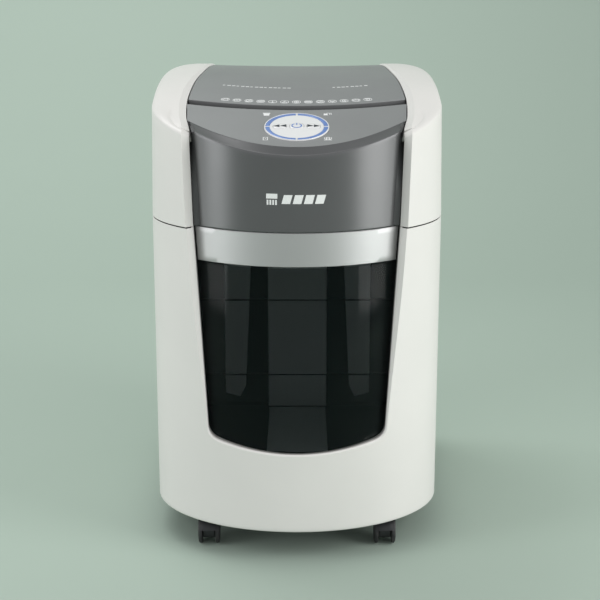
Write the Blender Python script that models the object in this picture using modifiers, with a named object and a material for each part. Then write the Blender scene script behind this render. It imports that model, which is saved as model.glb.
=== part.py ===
"""Auto-feed paper shredder on four castors, with a pull-out bin and a lid over its paper tray.

Frame: +Z up, the front faces -Y, origin on the floor below the middle of the body's plan.
All sizes are metres.
"""

from math import asin, atan, cos, pi, radians, sin, sqrt

import bmesh
import bpy
from mathutils import Matrix, Vector

# driving dimensions
WIDTH = 0.345
DEPTH = 0.445
NOSE = 0.138               # depth of the half-elliptical front
BACK_CORNER = 0.040        # radius of the two back corners, seen from above
WALL = 0.0035              # outer shells
SKIRT = 0.038              # bottom edge of the body
SEAM = 0.392               # split between the bin front and the head
SEAM_GAP = 0.0008
CREST = 0.553              # top of the white shoulders
CLEAR = 0.0003             # between touching pieces
RUNNING = 0.0010           # around pieces that move

FRONT = -DEPTH / 2
BACK = DEPTH / 2
HALF = WIDTH / 2
NOSE_CENTRE = FRONT + NOSE

# head: a 17 degree slope from the nose, then a shallow crest over the lid
SLOPE = 0.3096
PANEL_Y = FRONT + 0.0214   # front edge of the control panel on the centre line
PANEL_Z = 0.4874
CREST_START = FRONT + 0.129
CREST_BEND = 0.883         # how fast the slope flattens, per metre
SHOULDER_WIDE = 0.060
SHOULDER_HIGH = 0.050
SHOULDER_RISE = 0.0052     # white covers stand this far above the lid
HEAD_TAPER = 0.002

# bin front opening: band above, window below
OPENING_TOP_HALF = 0.1181
OPENING_LOW_HALF = 0.1030
OPENING_LOW_Z = 0.155
OPENING_BOTTOM = 0.134
OPENING_BOTTOM_SIDE = 0.148
BAND_BOTTOM = 0.3525
FACE_RADIUS = 0.176        # plan radius of the front panel, band and window
FACE_INSET = 0.014         # front panel and band behind the nose
WINDOW_FOOT_INSET = 0.003
FACE_THICK = 0.003
REVEAL = 0.0016            # dark gap round the band and the window

# lid and control panel edges, seen from above: distance behind the nose and curvature
PANEL_BACK = 0.117
PANEL_BACK_CURVE = 1.01
LID_FRONT = 0.1296
LID_FRONT_CURVE = 1.11
LID_BACK = 0.436
LID_THICK = 0.004
LID_GAP = 0.0010
LID_AXIS_Y = FRONT + 0.431
LID_AXIS_DROP = 0.0068

# paper tray
TRAY_HALF = 0.1095
TRAY_WALL = 0.0022
TRAY_FRONT = FRONT + 0.1333
TRAY_BACK = FRONT + 0.4352
TRAY_FLOOR_SLOPE = 0.10
TRAY_FLOOR_Z = 0.4920      # top of the floor above the feed roller
TRAY_TOP_DROP = 0.0115     # wall tops below the lid's top

# gear train, one plane outside the right cutter plate
MODULE = 0.002
CUTTER_TEETH = 18
IDLER_TEETH = 30
PINION_TEETH = 10
ROLLER_TEETH = 12
NIP_Y = FRONT + 0.123
MECH_Z = 0.440
CUTTER_RADIUS = 0.020
CUTTER_PITCH = 0.022
CUTTER_DISCS = 10
ROLLER_RADIUS = 0.014
ROLLER_ANGLE = radians(70)
PLATE_X = 0.1180
PLATE_THICK = 0.003
GEAR_X = 0.1235
GEAR_THICK = 0.008

# castors
CASTOR_X = 0.106
CASTOR_FRONT_Y = FRONT + 0.072
CASTOR_BACK_Y = 0.170
CASTOR_TRAIL = 0.010
WHEEL_RADIUS = 0.018
CASTOR_WIDE = 0.026
TREAD_WIDE = 0.0055
HOOD_TOP = 0.0385
STEM_RADIUS = 0.0042
BASE_Z = 0.040
BASE_THICK = 0.0085

# bin
BIN_SPLIT_Y = -0.040       # the bin front wraps round the sides to here
TUB_INSET = 0.020
TUB_WALL = 0.0025
TUB_FLOOR = 0.0550
TUB_TOP = 0.3850
TUB_BACK = 0.190

# dial
DIAL_Y = FRONT + 0.0715
DIAL_RADIUS = 0.037
TILT = atan(SLOPE)

# back panel: mains inlet, power switch and vents
INLET_X = 0.075
SWITCH_X = 0.042
INLET_Z = 0.425
VENT_Z = 0.415
VENT_STEP = 0.009
VENT_HIGH = 0.004

# warning lamps on the control panel
LAMP_RADIUS = 0.0024
LAMPS = (("lamp_bin_full", -0.035, FRONT + 0.105), ("lamp_overload", 0.035, FRONT + 0.105),
         ("lamp_bin_open", -0.035, FRONT + 0.042), ("lamp_overheat", 0.035, FRONT + 0.042))

# pressure plate under the lid
PRESSER_Y = 0.030
PRESSER_Z = 0.5370

# shafts behind the cutters
IDLER_Y = NIP_Y + MODULE * (CUTTER_TEETH + IDLER_TEETH) / 2 + MODULE * CUTTER_TEETH / 2
ROLLER_REACH = MODULE * (IDLER_TEETH + ROLLER_TEETH) / 2
ROLLER_Y = IDLER_Y + ROLLER_REACH * cos(ROLLER_ANGLE)
ROLLER_Z = MECH_Z + ROLLER_REACH * sin(ROLLER_ANGLE)
PINION_Y = IDLER_Y + MODULE * (IDLER_TEETH + PINION_TEETH) / 2

# finger grips at the sides of the bin front
GRIP_LOW = 0.269
GRIP_HIGH = 0.340
GRIP_FRONT = -0.072
GRIP_BACK = -0.046


# scene and materials
for leftover in list(bpy.data.objects):
    bpy.data.objects.remove(leftover, do_unlink=True)

shredder = bpy.data.collections.new("paper_shredder")
bpy.context.scene.collection.children.link(shredder)


def make_material(name, colour, roughness, metallic=0.0):
    material = bpy.data.materials.new(name)
    material.use_nodes = True
    shader = material.node_tree.nodes["Principled BSDF"]
    shader.inputs["Base Color"].default_value = (*colour, 1)
    shader.inputs["Roughness"].default_value = roughness
    shader.inputs["Metallic"].default_value = metallic
    return material


WHITE = make_material("white_shell", (0.78, 0.79, 0.76), 0.30)
GREY = make_material("grey_gloss", (0.13, 0.14, 0.145), 0.22)
SILVER_GREY = make_material("silver_grey", (0.25, 0.27, 0.27), 0.38)
BAND = make_material("brushed_band", (0.55, 0.56, 0.56), 0.28, 1.0)
SMOKED = make_material("smoked_window", (0.015, 0.020, 0.021), 0.08)
BLACK = make_material("black_plastic", (0.020, 0.021, 0.024), 0.45)
STEEL = make_material("steel", (0.42, 0.43, 0.44), 0.35, 1.0)
RUBBER = make_material("rubber", (0.030, 0.030, 0.032), 0.75)
DIAL_WHITE = make_material("dial_white", (0.85, 0.85, 0.86), 0.25)
BLUE = make_material("ring_blue", (0.16, 0.27, 0.62), 0.30)
BOARD = make_material("board_green", (0.03, 0.16, 0.07), 0.50)


# shape helpers
PLAN = Matrix.Identity(4)
FROM_FRONT = Matrix.Rotation(pi / 2, 4, "X")
FROM_SIDE = Matrix(((0, 0, 1, 0), (1, 0, 0, 0), (0, 1, 0, 0), (0, 0, 0, 1)))


def clean(mesh):
    """Weld the caps and point every face outwards."""
    work = bmesh.new()
    work.from_mesh(mesh)
    bmesh.ops.remove_doubles(work, verts=work.verts, dist=0.000002)
    bmesh.ops.recalc_face_normals(work, faces=work.faces)
    work.to_mesh(mesh)
    work.free()
    return mesh


def evaluated_mesh(thing):
    """The finished mesh of a temporary object, which is then removed."""
    shredder.objects.link(thing)
    graph = bpy.context.evaluated_depsgraph_get()
    mesh = bpy.data.meshes.new_from_object(thing.evaluated_get(graph))
    bpy.data.objects.remove(thing, do_unlink=True)
    return mesh


def prism(outlines, low, high, view=PLAN):
    """Outlines drawn in a view, the first one solid and the rest holes, pulled from low to high."""
    if isinstance(outlines[0][0], float):
        outlines = [outlines]
    curve = bpy.data.curves.new("outline", "CURVE")
    curve.dimensions = "2D"
    curve.fill_mode = "BOTH"
    curve.extrude = (high - low) / 2
    for outline in outlines:
        spline = curve.splines.new("POLY")
        spline.points.add(len(outline) - 1)
        for point, (across, up) in zip(spline.points, outline):
            point.co = (across, up, 0, 1)
        spline.use_cyclic_u = True
    mesh = clean(evaluated_mesh(bpy.data.objects.new("outline", curve)))
    middle = (low + high) / 2
    if view is FROM_FRONT:
        middle = -middle
    mesh.transform(view @ Matrix.Translation((0, 0, middle)))
    return mesh


def block(low, high):
    work = bmesh.new()
    bmesh.ops.create_cube(work, size=1)
    size = [b - a for a, b in zip(low, high)]
    centre = [(a + b) / 2 for a, b in zip(low, high)]
    bmesh.ops.scale(work, vec=size, verts=work.verts)
    bmesh.ops.translate(work, vec=centre, verts=work.verts)
    mesh = bpy.data.meshes.new("block")
    work.to_mesh(mesh)
    work.free()
    return mesh


def turned(profile, steps=24, closed=False, place=PLAN):
    """A profile of (radius, height) points, top to bottom, turned about Z and then placed."""
    mesh = bpy.data.meshes.new("profile")
    edges = [(i, i + 1) for i in range(len(profile) - 1)]
    if closed:
        edges.append((len(profile) - 1, 0))
    mesh.from_pydata([(radius, 0, height) for radius, height in profile], edges, [])
    thing = bpy.data.objects.new("profile", mesh)
    screw = thing.modifiers.new("turn", "SCREW")
    screw.steps = steps
    screw.render_steps = steps
    screw.use_merge_vertices = True
    screw.merge_threshold = 0.00001
    result = clean(evaluated_mesh(thing))
    result.transform(place)
    return result


def rod(radius, low, high, steps=20, place=PLAN):
    return turned([(0, high), (radius, high), (radius, low), (0, low)], steps, False, place)


def tube(outer, inner, low, high, steps=20, place=PLAN):
    ring = [(outer, high), (outer, low), (inner, low), (inner, high)]
    return turned(ring, steps, True, place)


def combined(base, *changes):
    """Booleans in order: each change is a pair of the operation and the other mesh."""
    thing = bpy.data.objects.new("base", base)
    others = []
    for operation, mesh in changes:
        other = bpy.data.objects.new("cutter", mesh)
        shredder.objects.link(other)
        boolean = thing.modifiers.new(operation, "BOOLEAN")
        boolean.operation = operation
        boolean.solver = "EXACT"
        boolean.object = other
        others.append(other)
    mesh = evaluated_mesh(thing)
    for other in others:
        bpy.data.objects.remove(other, do_unlink=True)
    return clean(mesh)


def cut(mesh):
    return "DIFFERENCE", mesh


def keep(mesh):
    return "INTERSECT", mesh


def join(mesh):
    return "UNION", mesh


def piece(name, mesh, material, origin=(0, 0, 0), smooth=None):
    """Add one named sub-part, with its origin where it turns or slides."""
    mesh.transform(Matrix.Translation(-Vector(origin)))
    mesh.name = name
    mesh.materials.clear()
    mesh.materials.append(material)
    if smooth is not None:
        mesh.shade_smooth()
        mesh.set_sharp_from_angle(angle=radians(smooth))
    thing = bpy.data.objects.new(name, mesh)
    thing.location = origin
    shredder.objects.link(thing)
    return thing


def along_x(x, y, z):
    """Placement that lays a turned shape's axis along +X."""
    return Matrix.Translation((x, y, z)) @ Matrix.Rotation(pi / 2, 4, "Y")


def on_panel(x, y):
    """Placement on the control panel's surface, local Z along its normal."""
    return Matrix.Translation((x, y, panel_z(y))) @ Matrix.Rotation(TILT, 4, "X")


# outlines and levels
def panel_z(y):
    return PANEL_Z + SLOPE * (y - PANEL_Y)


def lid_z(y):
    """Top of the lid on the centre line."""
    beyond = max(0.0, y - CREST_START)
    return panel_z(y) - CREST_BEND * beyond * beyond


def body_outline(inset=0.0, steps=28):
    """The body seen from above."""
    half = HALF - inset
    nose = NOSE - inset
    points = []
    for i in range(steps + 1):
        angle = pi + pi * i / steps
        points.append((half * cos(angle), NOSE_CENTRE + nose * sin(angle)))
    radius = BACK_CORNER - inset
    for side, start in ((1, 0.0), (-1, pi / 2)):
        for i in range(7):
            angle = start + pi / 2 * i / 6
            x = side * (HALF - BACK_CORNER) + radius * cos(angle)
            points.append((x, BACK - BACK_CORNER + radius * sin(angle)))
    return points


HEAD_EDGE = ((-0.020, 0.1185), (0.037, 0.1187), (0.062, 0.1215), (0.090, 0.1245), (0.134, 0.1288),
             (0.165, 0.1286), (0.199, 0.1261), (0.226, 0.1222), (0.256, 0.1178), (0.306, 0.1131),
             (0.353, 0.1092), (0.400, 0.1070), (0.470, 0.1065))


def edge_half(behind):
    """Half the width between the white head covers, at a distance behind the nose."""
    for (y0, x0), (y1, x1) in zip(HEAD_EDGE, HEAD_EDGE[1:]):
        if behind <= y1:
            return x0 + (x1 - x0) * (behind - y0) / (y1 - y0)
    return HEAD_EDGE[-1][1]


def parabola(start, curvature, half, steps=12):
    """Edge across the body, left to right, from start behind the nose and bowing backwards."""
    points = []
    for i in range(steps + 1):
        x = half * (2 * i / steps - 1)
        points.append((x, FRONT + start + curvature * x * x))
    return points


def face_arc(inset, half, steps=16):
    """Plan arc of the front faces, left to right."""
    reach = asin(half / (FACE_RADIUS - (inset - FACE_INSET)))
    radius = FACE_RADIUS - (inset - FACE_INSET)
    centre = FRONT + FACE_INSET + FACE_RADIUS
    points = []
    for i in range(steps + 1):
        angle = reach * (2 * i / steps - 1)
        points.append((radius * sin(angle), centre - radius * cos(angle)))
    return points


def face_slab(inset, thick, half, low, high):
    """Curved slab with the front panel's plan arc."""
    outer = face_arc(inset, half)
    inner = face_arc(inset + thick, half)
    return prism(outer + inner[::-1], low, high)


def opening_outline(gap=0.0, top=SEAM + 0.02, steps=8):
    """The bin front's opening seen from the front; a positive gap makes it smaller."""
    grow = (OPENING_TOP_HALF - OPENING_LOW_HALF) / (SEAM - OPENING_LOW_Z)

    def half(z):
        return OPENING_LOW_HALF + grow * (z - OPENING_LOW_Z) - gap

    corner = 0.010
    rise = OPENING_BOTTOM_SIDE - OPENING_BOTTOM
    turn_x = half(OPENING_LOW_Z) - corner
    points = [(half(top), top), (half(OPENING_LOW_Z + 0.002), OPENING_LOW_Z + 0.002)]
    points.append((turn_x + 0.75 * corner, OPENING_BOTTOM_SIDE + gap + 0.001))
    for i in range(steps + 1):
        x = turn_x * (1 - 2 * i / steps)
        points.append((x, OPENING_BOTTOM + gap + rise * (x / turn_x) ** 2 * 0.8))
    points.append((-turn_x - 0.75 * corner, OPENING_BOTTOM_SIDE + gap + 0.001))
    points.append((-half(OPENING_LOW_Z + 0.002), OPENING_LOW_Z + 0.002))
    points.append((-half(top), top))
    return points


def side_profile(top, low, start, end, steps=16):
    """Side view of everything below a height function, between two depths."""
    points = [(start, low)]
    for i in range(steps + 1):
        y = start + (end - start) * i / steps
        points.append((y, top(y)))
    points.append((end, low))
    return points


def between_covers(gap, start, end):
    """Plan outline between the head covers, as (x, y) points."""
    stops = [start] + [y for y, _ in HEAD_EDGE if start < y < end] + [end]
    right = [(edge_half(y) - gap, FRONT + y) for y in stops]
    return right + [(-x, y) for x, y in right[::-1]]


# head shells
def head_solid(inset):
    """The head's outer form, or the same form pulled in."""
    low = SEAM + SEAM_GAP / 2 - (0.01 if inset else 0)
    shoulder_x = HALF - HEAD_TAPER - SHOULDER_WIDE
    shoulder_z = CREST - SHOULDER_HIGH
    right = [(HALF - inset + 0.0001, low)]
    for i in range(9):
        angle = pi / 2 * i / 8
        wide = SHOULDER_WIDE - inset
        high = SHOULDER_HIGH - inset
        right.append((shoulder_x + wide * cos(angle), shoulder_z + high * sin(angle)))
    from_front = right + [(-x, z) for x, z in right[::-1]]
    from_side = side_profile(lambda y: lid_z(y) + SHOULDER_RISE - inset, low, FRONT - 0.01, BACK + 0.01, 20)
    return combined(prism(body_outline(inset), low, CREST + 0.02),
                    keep(prism(from_front, FRONT - 0.02, BACK + 0.02, FROM_FRONT)),
                    keep(prism(from_side, -HALF - 0.02, HALF + 0.02, FROM_SIDE)))


def add_head_shells():
    shell = combined(head_solid(0.0), cut(head_solid(WALL)))
    covers = combined(shell, cut(prism(between_covers(0.0, -0.02, 0.47), SEAM - 0.02, CREST + 0.03)))
    for name, side in (("head_cover_left", -1), ("head_cover_right", 1)):
        low, high = sorted((side * 0.08, side * 0.20))
        half_space = block((low, FRONT - 0.02, SEAM - 0.02), (high, BACK + 0.02, CREST + 0.02))
        piece(name, combined(covers, keep(half_space)), WHITE, smooth=35)

    rear_half = HEAD_EDGE[-1][1] - CLEAR
    rear = combined(
        shell.copy(),
        keep(block((-rear_half, BACK - 0.006, SEAM - 0.02), (rear_half, BACK + 0.02, CREST + 0.02))),
        cut(block((INLET_X - 0.0145, BACK - 0.01, INLET_Z - 0.0105),
                  (INLET_X + 0.0145, BACK + 0.01, INLET_Z + 0.0105))),
        cut(block((SWITCH_X - 0.0105, BACK - 0.01, INLET_Z - 0.0070),
                  (SWITCH_X + 0.0105, BACK + 0.01, INLET_Z + 0.0070))),
        *[cut(block((-0.085, BACK - 0.01, low), (0.010, BACK + 0.01, low + VENT_HIGH)))
          for low in (VENT_Z + VENT_STEP * i for i in range(8))])
    piece("head_rear_panel", rear, SILVER_GREY)


def add_head_faces():
    panel_cut = side_profile(lambda y: panel_z(y) - 0.0005, SEAM - 0.01, FRONT - 0.02, FRONT + 0.09, 4)
    half = edge_half(0.05) - RUNNING
    front = combined(face_slab(FACE_INSET, 0.004, half, SEAM + SEAM_GAP / 2, 0.52),
                     keep(prism(panel_cut, -HALF, HALF, FROM_SIDE)))
    piece("front_panel", front, GREY, smooth=35)

    back_edge = parabola(PANEL_BACK, PANEL_BACK_CURVE, edge_half(0.134) - RUNNING)
    front_edge = face_arc(FACE_INSET + 0.0045, half)
    sides = [(edge_half(y) - RUNNING, FRONT + y) for y in (0.075, 0.090, 0.110)]
    outline = [(-x, y) for x, y in sides[::-1]] + front_edge + sides + back_edge[::-1]
    slab = [(FRONT, panel_z(FRONT)), (FRONT + 0.2, panel_z(FRONT + 0.2)),
            (FRONT + 0.2, panel_z(FRONT + 0.2) - 0.003), (FRONT, panel_z(FRONT) - 0.003)]
    holes = [rod(DIAL_RADIUS + CLEAR, -0.02, 0.02, 32, on_panel(0, DIAL_Y))]
    holes += [rod(LAMP_RADIUS + CLEAR, -0.02, 0.02, 12, on_panel(x, y)) for _, x, y in LAMPS]
    panel = combined(prism(outline, PANEL_Z - 0.03, PANEL_Z + 0.06),
                     keep(prism(slab, -HALF, HALF, FROM_SIDE)), *[cut(hole) for hole in holes])
    piece("control_panel", panel, SILVER_GREY)
    for name, x, y in LAMPS:
        piece(name, rod(LAMP_RADIUS, -0.003, 0.0002, 12, on_panel(x, y)), DIAL_WHITE)

    mark = combined(face_slab(FACE_INSET - 0.0009, 0.0006, 0.035, 0.4225, 0.4375))
    piece("front_mark", mark, BAND)

    guide_y = FRONT + 0.1130
    piece("slot_guide", block((-0.112, guide_y, 0.4660), (0.112, guide_y + 0.0025, 0.5120)), BLACK)


# dial and its buttons
def add_dial():
    here = on_panel(0, DIAL_Y)
    piece("dial_rim", tube(DIAL_RADIUS, 0.0336, -0.003, 0.0022, 36, here), DIAL_WHITE, smooth=35)
    piece("dial_ring_light", tube(0.0333, 0.0302, -0.003, 0.0018, 36, here), BLUE, smooth=35)
    right_hole = button_outline(0.0192, 0.0073)
    left_hole = [(-x, -y) for x, y in right_hole]
    face = prism([circle(0.0299, 36), circle(0.0083, 20), right_hole, left_hole], -0.003, 0.0020)
    piece("dial_face", place_mesh(face, here), DIAL_WHITE)

    axis_point = here.translation
    piece("power_button", rod(0.0080, -0.0025, 0.0022, 20, here), DIAL_WHITE, axis_point, smooth=35)
    for name, turn in (("forward_button", 0), ("reverse_button", pi)):
        turned_here = here @ Matrix.Rotation(turn, 4, "Z")
        button = prism(button_outline(0.0192, 0.0070), -0.0025, 0.0022)
        spot = turned_here @ Vector((0.0192, 0, 0))
        piece(name, place_mesh(button, turned_here), DIAL_WHITE, spot)


def circle(radius, steps):
    return [(radius * cos(2 * pi * i / steps), radius * sin(2 * pi * i / steps)) for i in range(steps)]


def button_outline(centre, half):
    """A pill-shaped button lying across the dial."""
    points = []
    for i in range(16):
        angle = 2 * pi * (i + 0.5) / 16
        points.append((centre + half * cos(angle) + 0.0012 * (1 if cos(angle) > 0 else -1), half * sin(angle)))
    return points


def place_mesh(mesh, matrix):
    mesh.transform(matrix)
    return mesh


# lid and tray
def add_lid():
    gap = LID_GAP
    back_half = edge_half(LID_BACK) - gap
    front_edge = parabola(LID_FRONT, LID_FRONT_CURVE, edge_half(0.148) - gap)
    stops = [0.165, 0.199, 0.226, 0.256, 0.306, 0.353, 0.400]
    right = [(edge_half(y) - gap, FRONT + y) for y in stops] + [(back_half, FRONT + LID_BACK)]
    outline = front_edge + right + [(-x, y) for x, y in right[::-1]]
    start, end = FRONT + 0.12, BACK
    top = [(start + (end - start) * i / 18, lid_z(start + (end - start) * i / 18)) for i in range(19)]
    slab = top + [(y, z - LID_THICK) for y, z in top[::-1]]
    axis_z = lid_z(LID_AXIS_Y) - LID_AXIS_DROP
    mesh = combined(prism(outline, 0.50, 0.57), keep(prism(slab, -HALF, HALF, FROM_SIDE)),
                    *[join(rod(0.0045, -0.006, 0.006, 16, along_x(side * 0.091, LID_AXIS_Y, axis_z)))
                      for side in (-1, 1)],
                    *[cut(rod(0.0022, -0.010, 0.010, 12, along_x(side * 0.091, LID_AXIS_Y, axis_z)))
                      for side in (-1, 1)])
    piece("lid", mesh, SILVER_GREY, (0, LID_AXIS_Y, axis_z), smooth=35)
    piece("lid_hinge_rod", rod(0.0020, -0.1040, 0.1040, 12, along_x(0, LID_AXIS_Y, axis_z)), STEEL, smooth=35)

    low = TRAY_FLOOR_Z + 0.0065
    plate_side = [(PRESSER_Y, PRESSER_Z + 0.0015), (PRESSER_Y, PRESSER_Z - 0.0015),
                  (-0.062, low - 0.0020), (-0.062, low + 0.0010)]
    presser = prism(plate_side, -0.050, 0.050, FROM_SIDE)
    piece("lid_pressure_plate", presser, BLACK, (0, PRESSER_Y, PRESSER_Z))


def tray_floor(y):
    return TRAY_FLOOR_Z + TRAY_FLOOR_SLOPE * (y - ROLLER_Y)


def add_tray():
    def wall_top(y):
        return lid_z(y) - TRAY_TOP_DROP

    outside = side_profile(wall_top, 0.40, TRAY_FRONT, TRAY_BACK, 12)
    outside[0] = (TRAY_FRONT, tray_floor(TRAY_FRONT) - 0.0025)
    outside[-1] = (TRAY_BACK, tray_floor(TRAY_BACK) - 0.0025)
    inner_front, inner_back = TRAY_FRONT + TRAY_WALL, TRAY_BACK - TRAY_WALL
    inside = [(inner_front, tray_floor(inner_front)), (inner_front, 0.58),
              (inner_back, 0.58), (inner_back, tray_floor(inner_back))]
    windows = [block((middle - 0.015, ROLLER_Y - 0.015, 0.46), (middle + 0.015, ROLLER_Y + 0.015, 0.52))
               for middle in (-0.042, 0.042)]
    mouth = block((-0.104, TRAY_FRONT + 0.030, 0.46), (0.104, TRAY_FRONT + 0.040, 0.52))
    mesh = combined(prism(outside, -TRAY_HALF, TRAY_HALF, FROM_SIDE),
                    cut(prism(inside, -TRAY_HALF + TRAY_WALL, TRAY_HALF - TRAY_WALL, FROM_SIDE)),
                    cut(mouth), *[cut(window) for window in windows])
    piece("paper_tray", mesh, BLACK)


# cutting head
def gear_outline(teeth, phase):
    """Straight-flanked teeth with plenty of backlash."""
    pitch = MODULE * teeth / 2
    root = pitch - 1.2 * MODULE
    tip = pitch + 0.8 * MODULE
    points = []
    for tooth in range(teeth):
        for radius, share in ((root, -0.25), (tip, -0.12), (tip, 0.12), (root, 0.25)):
            angle = phase + (tooth + share) * 2 * pi / teeth
            points.append((radius * cos(angle), radius * sin(angle)))
    return points


def meshing_phase(phase, teeth, direction, other_teeth):
    """Phase of a gear that meshes with one at the given phase, in a direction from it."""
    share = ((direction - phase) * teeth / (2 * pi)) % 1
    return direction + pi - (0.5 - share) * 2 * pi / other_teeth


def gear(teeth, phase, bore):
    return prism([gear_outline(teeth, phase), circle(bore, 16)], GEAR_X, GEAR_X + GEAR_THICK)


def gear_at(mesh, y, z):
    """Stand a gear drawn flat in (y, z) up in its plane."""
    mesh.transform(Matrix.Translation((0, y, z)) @ FROM_SIDE)
    return mesh


def cutter_profile(first_disc):
    """Shaft with evenly spaced discs, from its right end to its left end."""
    disc = 0.0098
    core = 0.013
    journal = 0.0055
    right_end = GEAR_X + GEAR_THICK + 0.002
    points = [(0, right_end), (journal, right_end), (journal, PLATE_X - 0.0020), (core, PLATE_X - 0.0020)]
    for i in range(CUTTER_DISCS - 1, -1, -1):
        middle = first_disc + CUTTER_PITCH * i
        points += [(core, middle + disc / 2), (CUTTER_RADIUS, middle + disc / 2),
                   (CUTTER_RADIUS, middle - disc / 2), (core, middle - disc / 2)]
    left_end = -PLATE_X - PLATE_THICK - 0.003
    points += [(core, -PLATE_X + 0.0020), (journal, -PLATE_X + 0.0020), (journal, left_end), (0, left_end)]
    return points


def add_cutting_head():
    a_y = NIP_Y - MODULE * CUTTER_TEETH / 2
    b_y = NIP_Y + MODULE * CUTTER_TEETH / 2
    first = -CUTTER_PITCH * (CUTTER_DISCS - 0.5) / 2
    for name, y, shift in (("cutter_shaft_front", a_y, 0.0), ("cutter_shaft_back", b_y, CUTTER_PITCH / 2)):
        mesh = turned(cutter_profile(first + shift), 18, False, along_x(0, y, MECH_Z))
        piece(name, mesh, STEEL, (0, y, MECH_Z), smooth=35)

    roller_at = (ROLLER_Y, ROLLER_Z)
    for name, side in (("cutter_plate_left", -1), ("cutter_plate_right", 1)):
        low, high = sorted((side * PLATE_X, side * (PLATE_X + PLATE_THICK)))
        holes = [(a_y, MECH_Z, 0.0103), (b_y, MECH_Z, 0.0103), (*roller_at, 0.0036)]
        if side > 0:
            holes += [(IDLER_Y, MECH_Z, 0.0043), (PINION_Y, MECH_Z, 0.0036)]
        outline = [(-0.150, 0.4020), (0.045, 0.4020), (0.045, 0.4700), (0.000, 0.4950),
                   (-0.035, 0.4950), (-0.060, 0.4700), (-0.150, 0.4700)]
        plate = combined(prism(outline, low, high, FROM_SIDE),
                         *[cut(rod(radius, low - 0.01, high + 0.01, 16, along_x(0, y, z)))
                           for y, z, radius in holes])
        piece(name, plate, STEEL)
        for which, y in (("front", a_y), ("back", b_y)):
            ring = tube(0.0100, 0.0058, low, high, 16, along_x(0, y, MECH_Z))
            side_name = "left" if side < 0 else "right"
            piece(f"bearing_{which}_{side_name}", ring, STEEL, smooth=35)

    shaft = 0.0058
    front_phase = 0.0
    back_phase = meshing_phase(front_phase, CUTTER_TEETH, 0.0, CUTTER_TEETH)
    idler_phase = meshing_phase(back_phase, CUTTER_TEETH, 0.0, IDLER_TEETH)
    pinion_phase = meshing_phase(idler_phase, IDLER_TEETH, 0.0, PINION_TEETH)
    roller_phase = meshing_phase(idler_phase, IDLER_TEETH, ROLLER_ANGLE, ROLLER_TEETH)
    for name, y, teeth, phase, bore in (
            ("cutter_gear_front", a_y, CUTTER_TEETH, front_phase, shaft),
            ("cutter_gear_back", b_y, CUTTER_TEETH, back_phase, shaft),
            ("idler_gear", IDLER_Y, IDLER_TEETH, idler_phase, 0.0044)):
        piece(name, gear_at(gear(teeth, phase, bore), y, MECH_Z), STEEL, (0, y, MECH_Z))

    idler_pin = rod(0.0040, PLATE_X - 0.004, GEAR_X + GEAR_THICK + 0.002, 16, along_x(0, IDLER_Y, MECH_Z))
    piece("idler_pin", idler_pin, STEEL, smooth=35)

    end = GEAR_X + GEAR_THICK + 0.002
    pinion_teeth = prism(gear_outline(PINION_TEETH, pinion_phase), GEAR_X, GEAR_X + GEAR_THICK)
    teeth = gear_at(pinion_teeth, PINION_Y, MECH_Z)
    pinion = combined(teeth, join(rod(0.0032, 0.0553, end, 16, along_x(0, PINION_Y, MECH_Z))))
    piece("motor_pinion", pinion, STEEL, (0, PINION_Y, MECH_Z))
    can = [(0, 0.055), (0.012, 0.055), (0.012, 0.050), (0.027, 0.050), (0.029, 0.048),
           (0.029, -0.068), (0.027, -0.070), (0, -0.070)]
    piece("motor", turned(can, 24, False, along_x(0, PINION_Y + 0.020, MECH_Z - 0.004)), STEEL, smooth=35)

    thin, thick = 0.0032, ROLLER_RADIUS
    roller = [(0, end), (thin, end), (thin, 0.054), (thick, 0.054), (thick, 0.030), (thin, 0.030),
              (thin, -0.030), (thick, -0.030), (thick, -0.054), (thin, -0.054), (thin, -end + 0.008),
              (0, -end + 0.008)]
    teeth = gear_at(prism(gear_outline(ROLLER_TEETH, roller_phase), GEAR_X, GEAR_X + GEAR_THICK),
                    ROLLER_Y, ROLLER_Z)
    mesh = combined(turned(roller, 20, False, along_x(0, ROLLER_Y, ROLLER_Z)), join(teeth))
    piece("feed_roller", mesh, RUBBER, (0, ROLLER_Y, ROLLER_Z), smooth=35)

    piece("circuit_board", block((-0.1500, -0.060, 0.4060), (-0.1484, 0.060, 0.4900)), BOARD)

    deck = [(-0.136, FRONT + 0.074), (0.136, FRONT + 0.074), (0.161, FRONT + 0.118), (0.161, BACK - 0.060),
            (0.140, BACK - 0.012), (-0.140, BACK - 0.012), (-0.161, BACK - 0.060), (-0.161, FRONT + 0.118)]
    outlet = [(-0.113, NIP_Y - 0.030), (0.113, NIP_Y - 0.030), (0.113, NIP_Y + 0.030), (-0.113, NIP_Y + 0.030)]
    legs = [block((side * (HALF - 0.013) - 0.001, -0.030, BASE_Z + BASE_THICK + CLEAR),
                  (side * (HALF - 0.013) + 0.001, 0.155, 0.4000)) for side in (-1, 1)]
    frame = combined(prism([deck, outlet], 0.3985, 0.4015), *[join(leg) for leg in legs])
    piece("cutter_deck_frame", frame, STEEL)


def add_inlet():
    body = combined(block((INLET_X - 0.0140, BACK - 0.022, INLET_Z - 0.0100),
                          (INLET_X + 0.0140, BACK - 0.0008, INLET_Z + 0.0100)),
                    cut(block((INLET_X - 0.0120, BACK - 0.018, INLET_Z - 0.0080),
                              (INLET_X + 0.0120, BACK + 0.01, INLET_Z + 0.0080))))
    piece("mains_inlet", body, BLACK)
    rocker_side = [(BACK - 0.0010, INLET_Z - 0.0062), (BACK - 0.0028, INLET_Z),
                   (BACK - 0.0004, INLET_Z + 0.0062), (BACK - 0.0100, INLET_Z + 0.0055),
                   (BACK - 0.0100, INLET_Z - 0.0055)]
    rocker = prism(rocker_side, SWITCH_X - 0.0095, SWITCH_X + 0.0095, FROM_SIDE)
    piece("power_switch", rocker, BLACK, (SWITCH_X, BACK - 0.0070, INLET_Z))


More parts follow.
